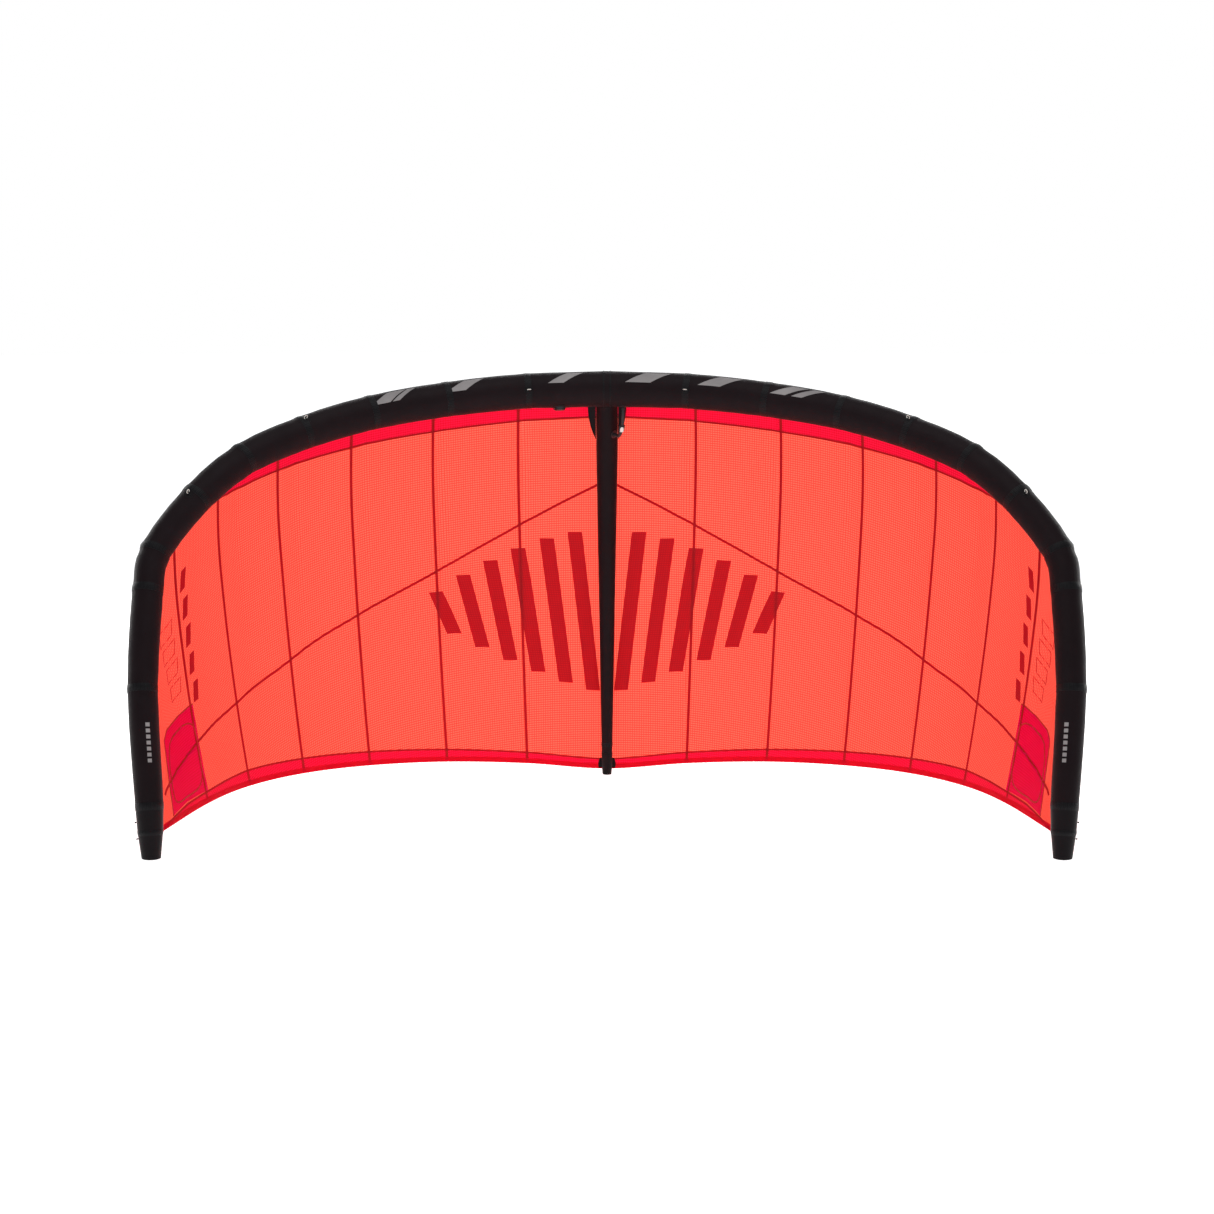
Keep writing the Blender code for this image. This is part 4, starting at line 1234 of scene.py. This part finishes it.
def round_patch(name, station, angle, sign, radius, look="patch", lift=0.0008):
    """Round reinforcement on the casing, with a raised, stitched rim."""
    tube = LEADING_EDGE[int(station)][3]
    length = segment_length(int(station))

    def place(r, a, height):
        s = station + math.cos(a) * r / length
        return tube_point(sign * s, angle + math.sin(a) * r / tube, height, False)

    profile = [(radius, -0.0004), (radius, lift), (radius * 0.93, lift * 1.5)]
    profile += [(radius * 0.88, lift), (radius * 0.5, lift), (0.0015, lift)]
    rings = [[place(r, a, h) for a in turns(48)] for r, h in profile]
    return cup(name, rings, look, slot="casing", smooth=50)


def dress_hardware():
    for node in ("inflation_valve_body", "inflation_valve_cap", "hose_port_leading_edge", "hose_port_strut"):
        paint(node, "plastic")
    paint("inflation_valve_flap", "rubber")
    paint("hose_clip_frame", "plastic")
    paint("hose_clip_lever", "clip")
    round_patch("valve_patch", VALVE_STATION, math.pi / 2 + VALVE_LEAN, -1, 0.044)
    round_patch("hose_patch", PORT_STATION, math.pi / 2 + VALVE_LEAN, 1, 0.032)


def paint(node, look):
    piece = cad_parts[node]
    piece.data.materials.clear()
    piece.data.materials.append(LOOKS[look])


def make_hose():
    start = surface_frame(PORT_STATION, VALVE_LEAN, 1)
    axis = strut_axis(PORT_CHORD)
    across = Vector((1.0, 0.0, 0.0))
    out = across * math.cos(PORT_TURN) + axis.cross(across) * math.sin(PORT_TURN)
    end = local_frame(strut_centre(PORT_CHORD) + out * (strut_radius(PORT_CHORD) + 0.0003), out, axis)
    a, d = [matrix @ Vector((0, 0, HOSE_STRAIGHT)) for matrix in (start, end)]
    b, c = [matrix @ Vector((0, 0, HOSE_STRAIGHT + HOSE_PULL)) for matrix in (start, end)]
    points = [start @ Vector((0, 0, h)) for h in spread(HOSE_END, 0.022, 8)]
    for part in spread(0, 1, 70):
        rest = 1 - part
        points.append(a * rest**3 + b * 3 * rest**2 * part + c * 3 * rest * part**2 + d * part**3)
    points += [end @ Vector((0, 0, h)) for h in spread(0.022, HOSE_END, 8)]
    rings = rope_rings(points, HOSE_RADIUS, 28)
    for index in range(1, len(rings), 2):
        rings[index] = [points[index] + (p - points[index]) * 0.965 for p in rings[index]]
    hose = loft("hose_ribbed", [rings], "rubber", slot="hose")
    add_wall(hose, HOSE_WALL)
    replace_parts(hose, "inflation_hose")
    for name, matrix in (("leading_edge", start), ("strut", end)):
        profile = ((0.0076, 0.0085), (0.0090, 0.0087), (0.0093, 0.0105), (0.0090, 0.0123), (0.0076, 0.0125))
        rings = [
            [matrix @ Vector((r * math.cos(a), r * math.sin(a), h)) for a in turns(32)] for r, h in profile
        ]
        loft(f"hose_clamp_{name}", [rings], "plastic", slot="valve")


def make_loops():
    """Each bridle point is a spliced line loop that swings in a sewn webbing tab on a round patch."""
    for side, sign in SIDES:
        for number, (station, up) in enumerate(BRIDLE_LOOPS, start=1):
            node = f"bridle_loop_{number}_{side}"
            matrix = surface_frame(station, math.pi / 2 + up, sign)
            hinge = matrix @ Matrix.Translation((0, 0, LOOP_STANDOFF))
            points = []
            for angle in spread(math.radians(-90), math.radians(270), 49):
                wide = LOOP_HALF * math.cos(angle) * (0.82 + 0.18 * math.sin(angle))
                points.append(hinge @ Vector((wide, 0.0, LOOP_HALF + LOOP_HALF * math.sin(angle))))
            bm = bmesh.new()
            closed_rope(bm, points, 0.0018, 12)
            loop = finish_mesh(f"line_{node}", bm, "cord", body=node, slot="cord")
            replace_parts(loop, node)
            wrap = [hinge @ Vector((x, 0.0, 2 * LOOP_HALF)) for x in spread(-0.0042, 0.0042, 7)]
            rings = rope_rings(wrap, 0.0023, 14)
            solid_tube(f"splice_{number}_{side}", rings, "cord", body=node, slot="cord")
            round_patch(f"bridle_patch_{number}_{side}", station, math.pi + up, sign, 0.024)
            rings = []
            for part in spread(-1, 1, 15):
                y = TAB_HALF * part
                arch = 0.0009 + 0.0048 * max(0.0, 1 - (part / 0.42) ** 2) ** 0.5
                drop = y**2 / (2 * LEADING_EDGE[int(station)][3])
                low, high = arch - drop, arch - drop + 0.0011
                corners = ((-0.0045, low), (0.0045, low), (0.0045, high), (-0.0045, high))
                rings.append([matrix @ Vector((x, y, z)) for x, z in corners])
            solid_tube(f"bridle_tab_{number}_{side}", rings, "band", slot="casing")


def knot_points(hinge, base, size):
    """A small overhand knot, as one turn of a trefoil."""
    points = []
    for step in range(61):
        a = math.tau * step / 60
        x = (math.sin(a) + 2 * math.sin(2 * a)) / 3
        y = (math.cos(a) - 2 * math.cos(2 * a)) / 3
        z = -math.sin(3 * a) / 3
        points.append(hinge @ Vector((x * size, y * size, base + z * size * 1.1)))
    return points


def make_pigtails():
    for side, sign in SIDES:
        for name, station in PIGTAILS:
            node = f"pigtail_{name}_{side}"
            matrix = surface_frame(station, -math.pi / 2, sign)
            hinge = matrix @ Matrix.Translation((0, 0, LOOP_STANDOFF))
            bm = bmesh.new()
            stem = [hinge @ Vector((0.0006 * math.sin(h * 900), 0, h)) for h in spread(0.0, 0.0125, 14)]
            tube_mesh(bm, rope_rings(stem, 0.0019, 12))
            closed_rope(bm, knot_points(hinge, 0.0112, 0.0034), 0.0016, 10)
            knot = finish_mesh(f"line_{node}", bm, "dark_cord", body=node, slot="dark_cord")
            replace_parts(knot, node)
            round_patch(f"pigtail_patch_{name}_{side}", station, 0.0, sign, 0.016, "band", 0.0013)


make_stage()
canopy = make_canopy()
canopy_trim = make_canopy_seams() + make_tip_patches() + make_insets()
hem = make_hem()
make_casing()
make_caps()
make_seam_bands()
tape = make_attachment_tape()
make_bladders()
make_prints()
make_strut()
make_gussets()
dress_hardware()
make_hose()
make_loops()
make_pigtails()
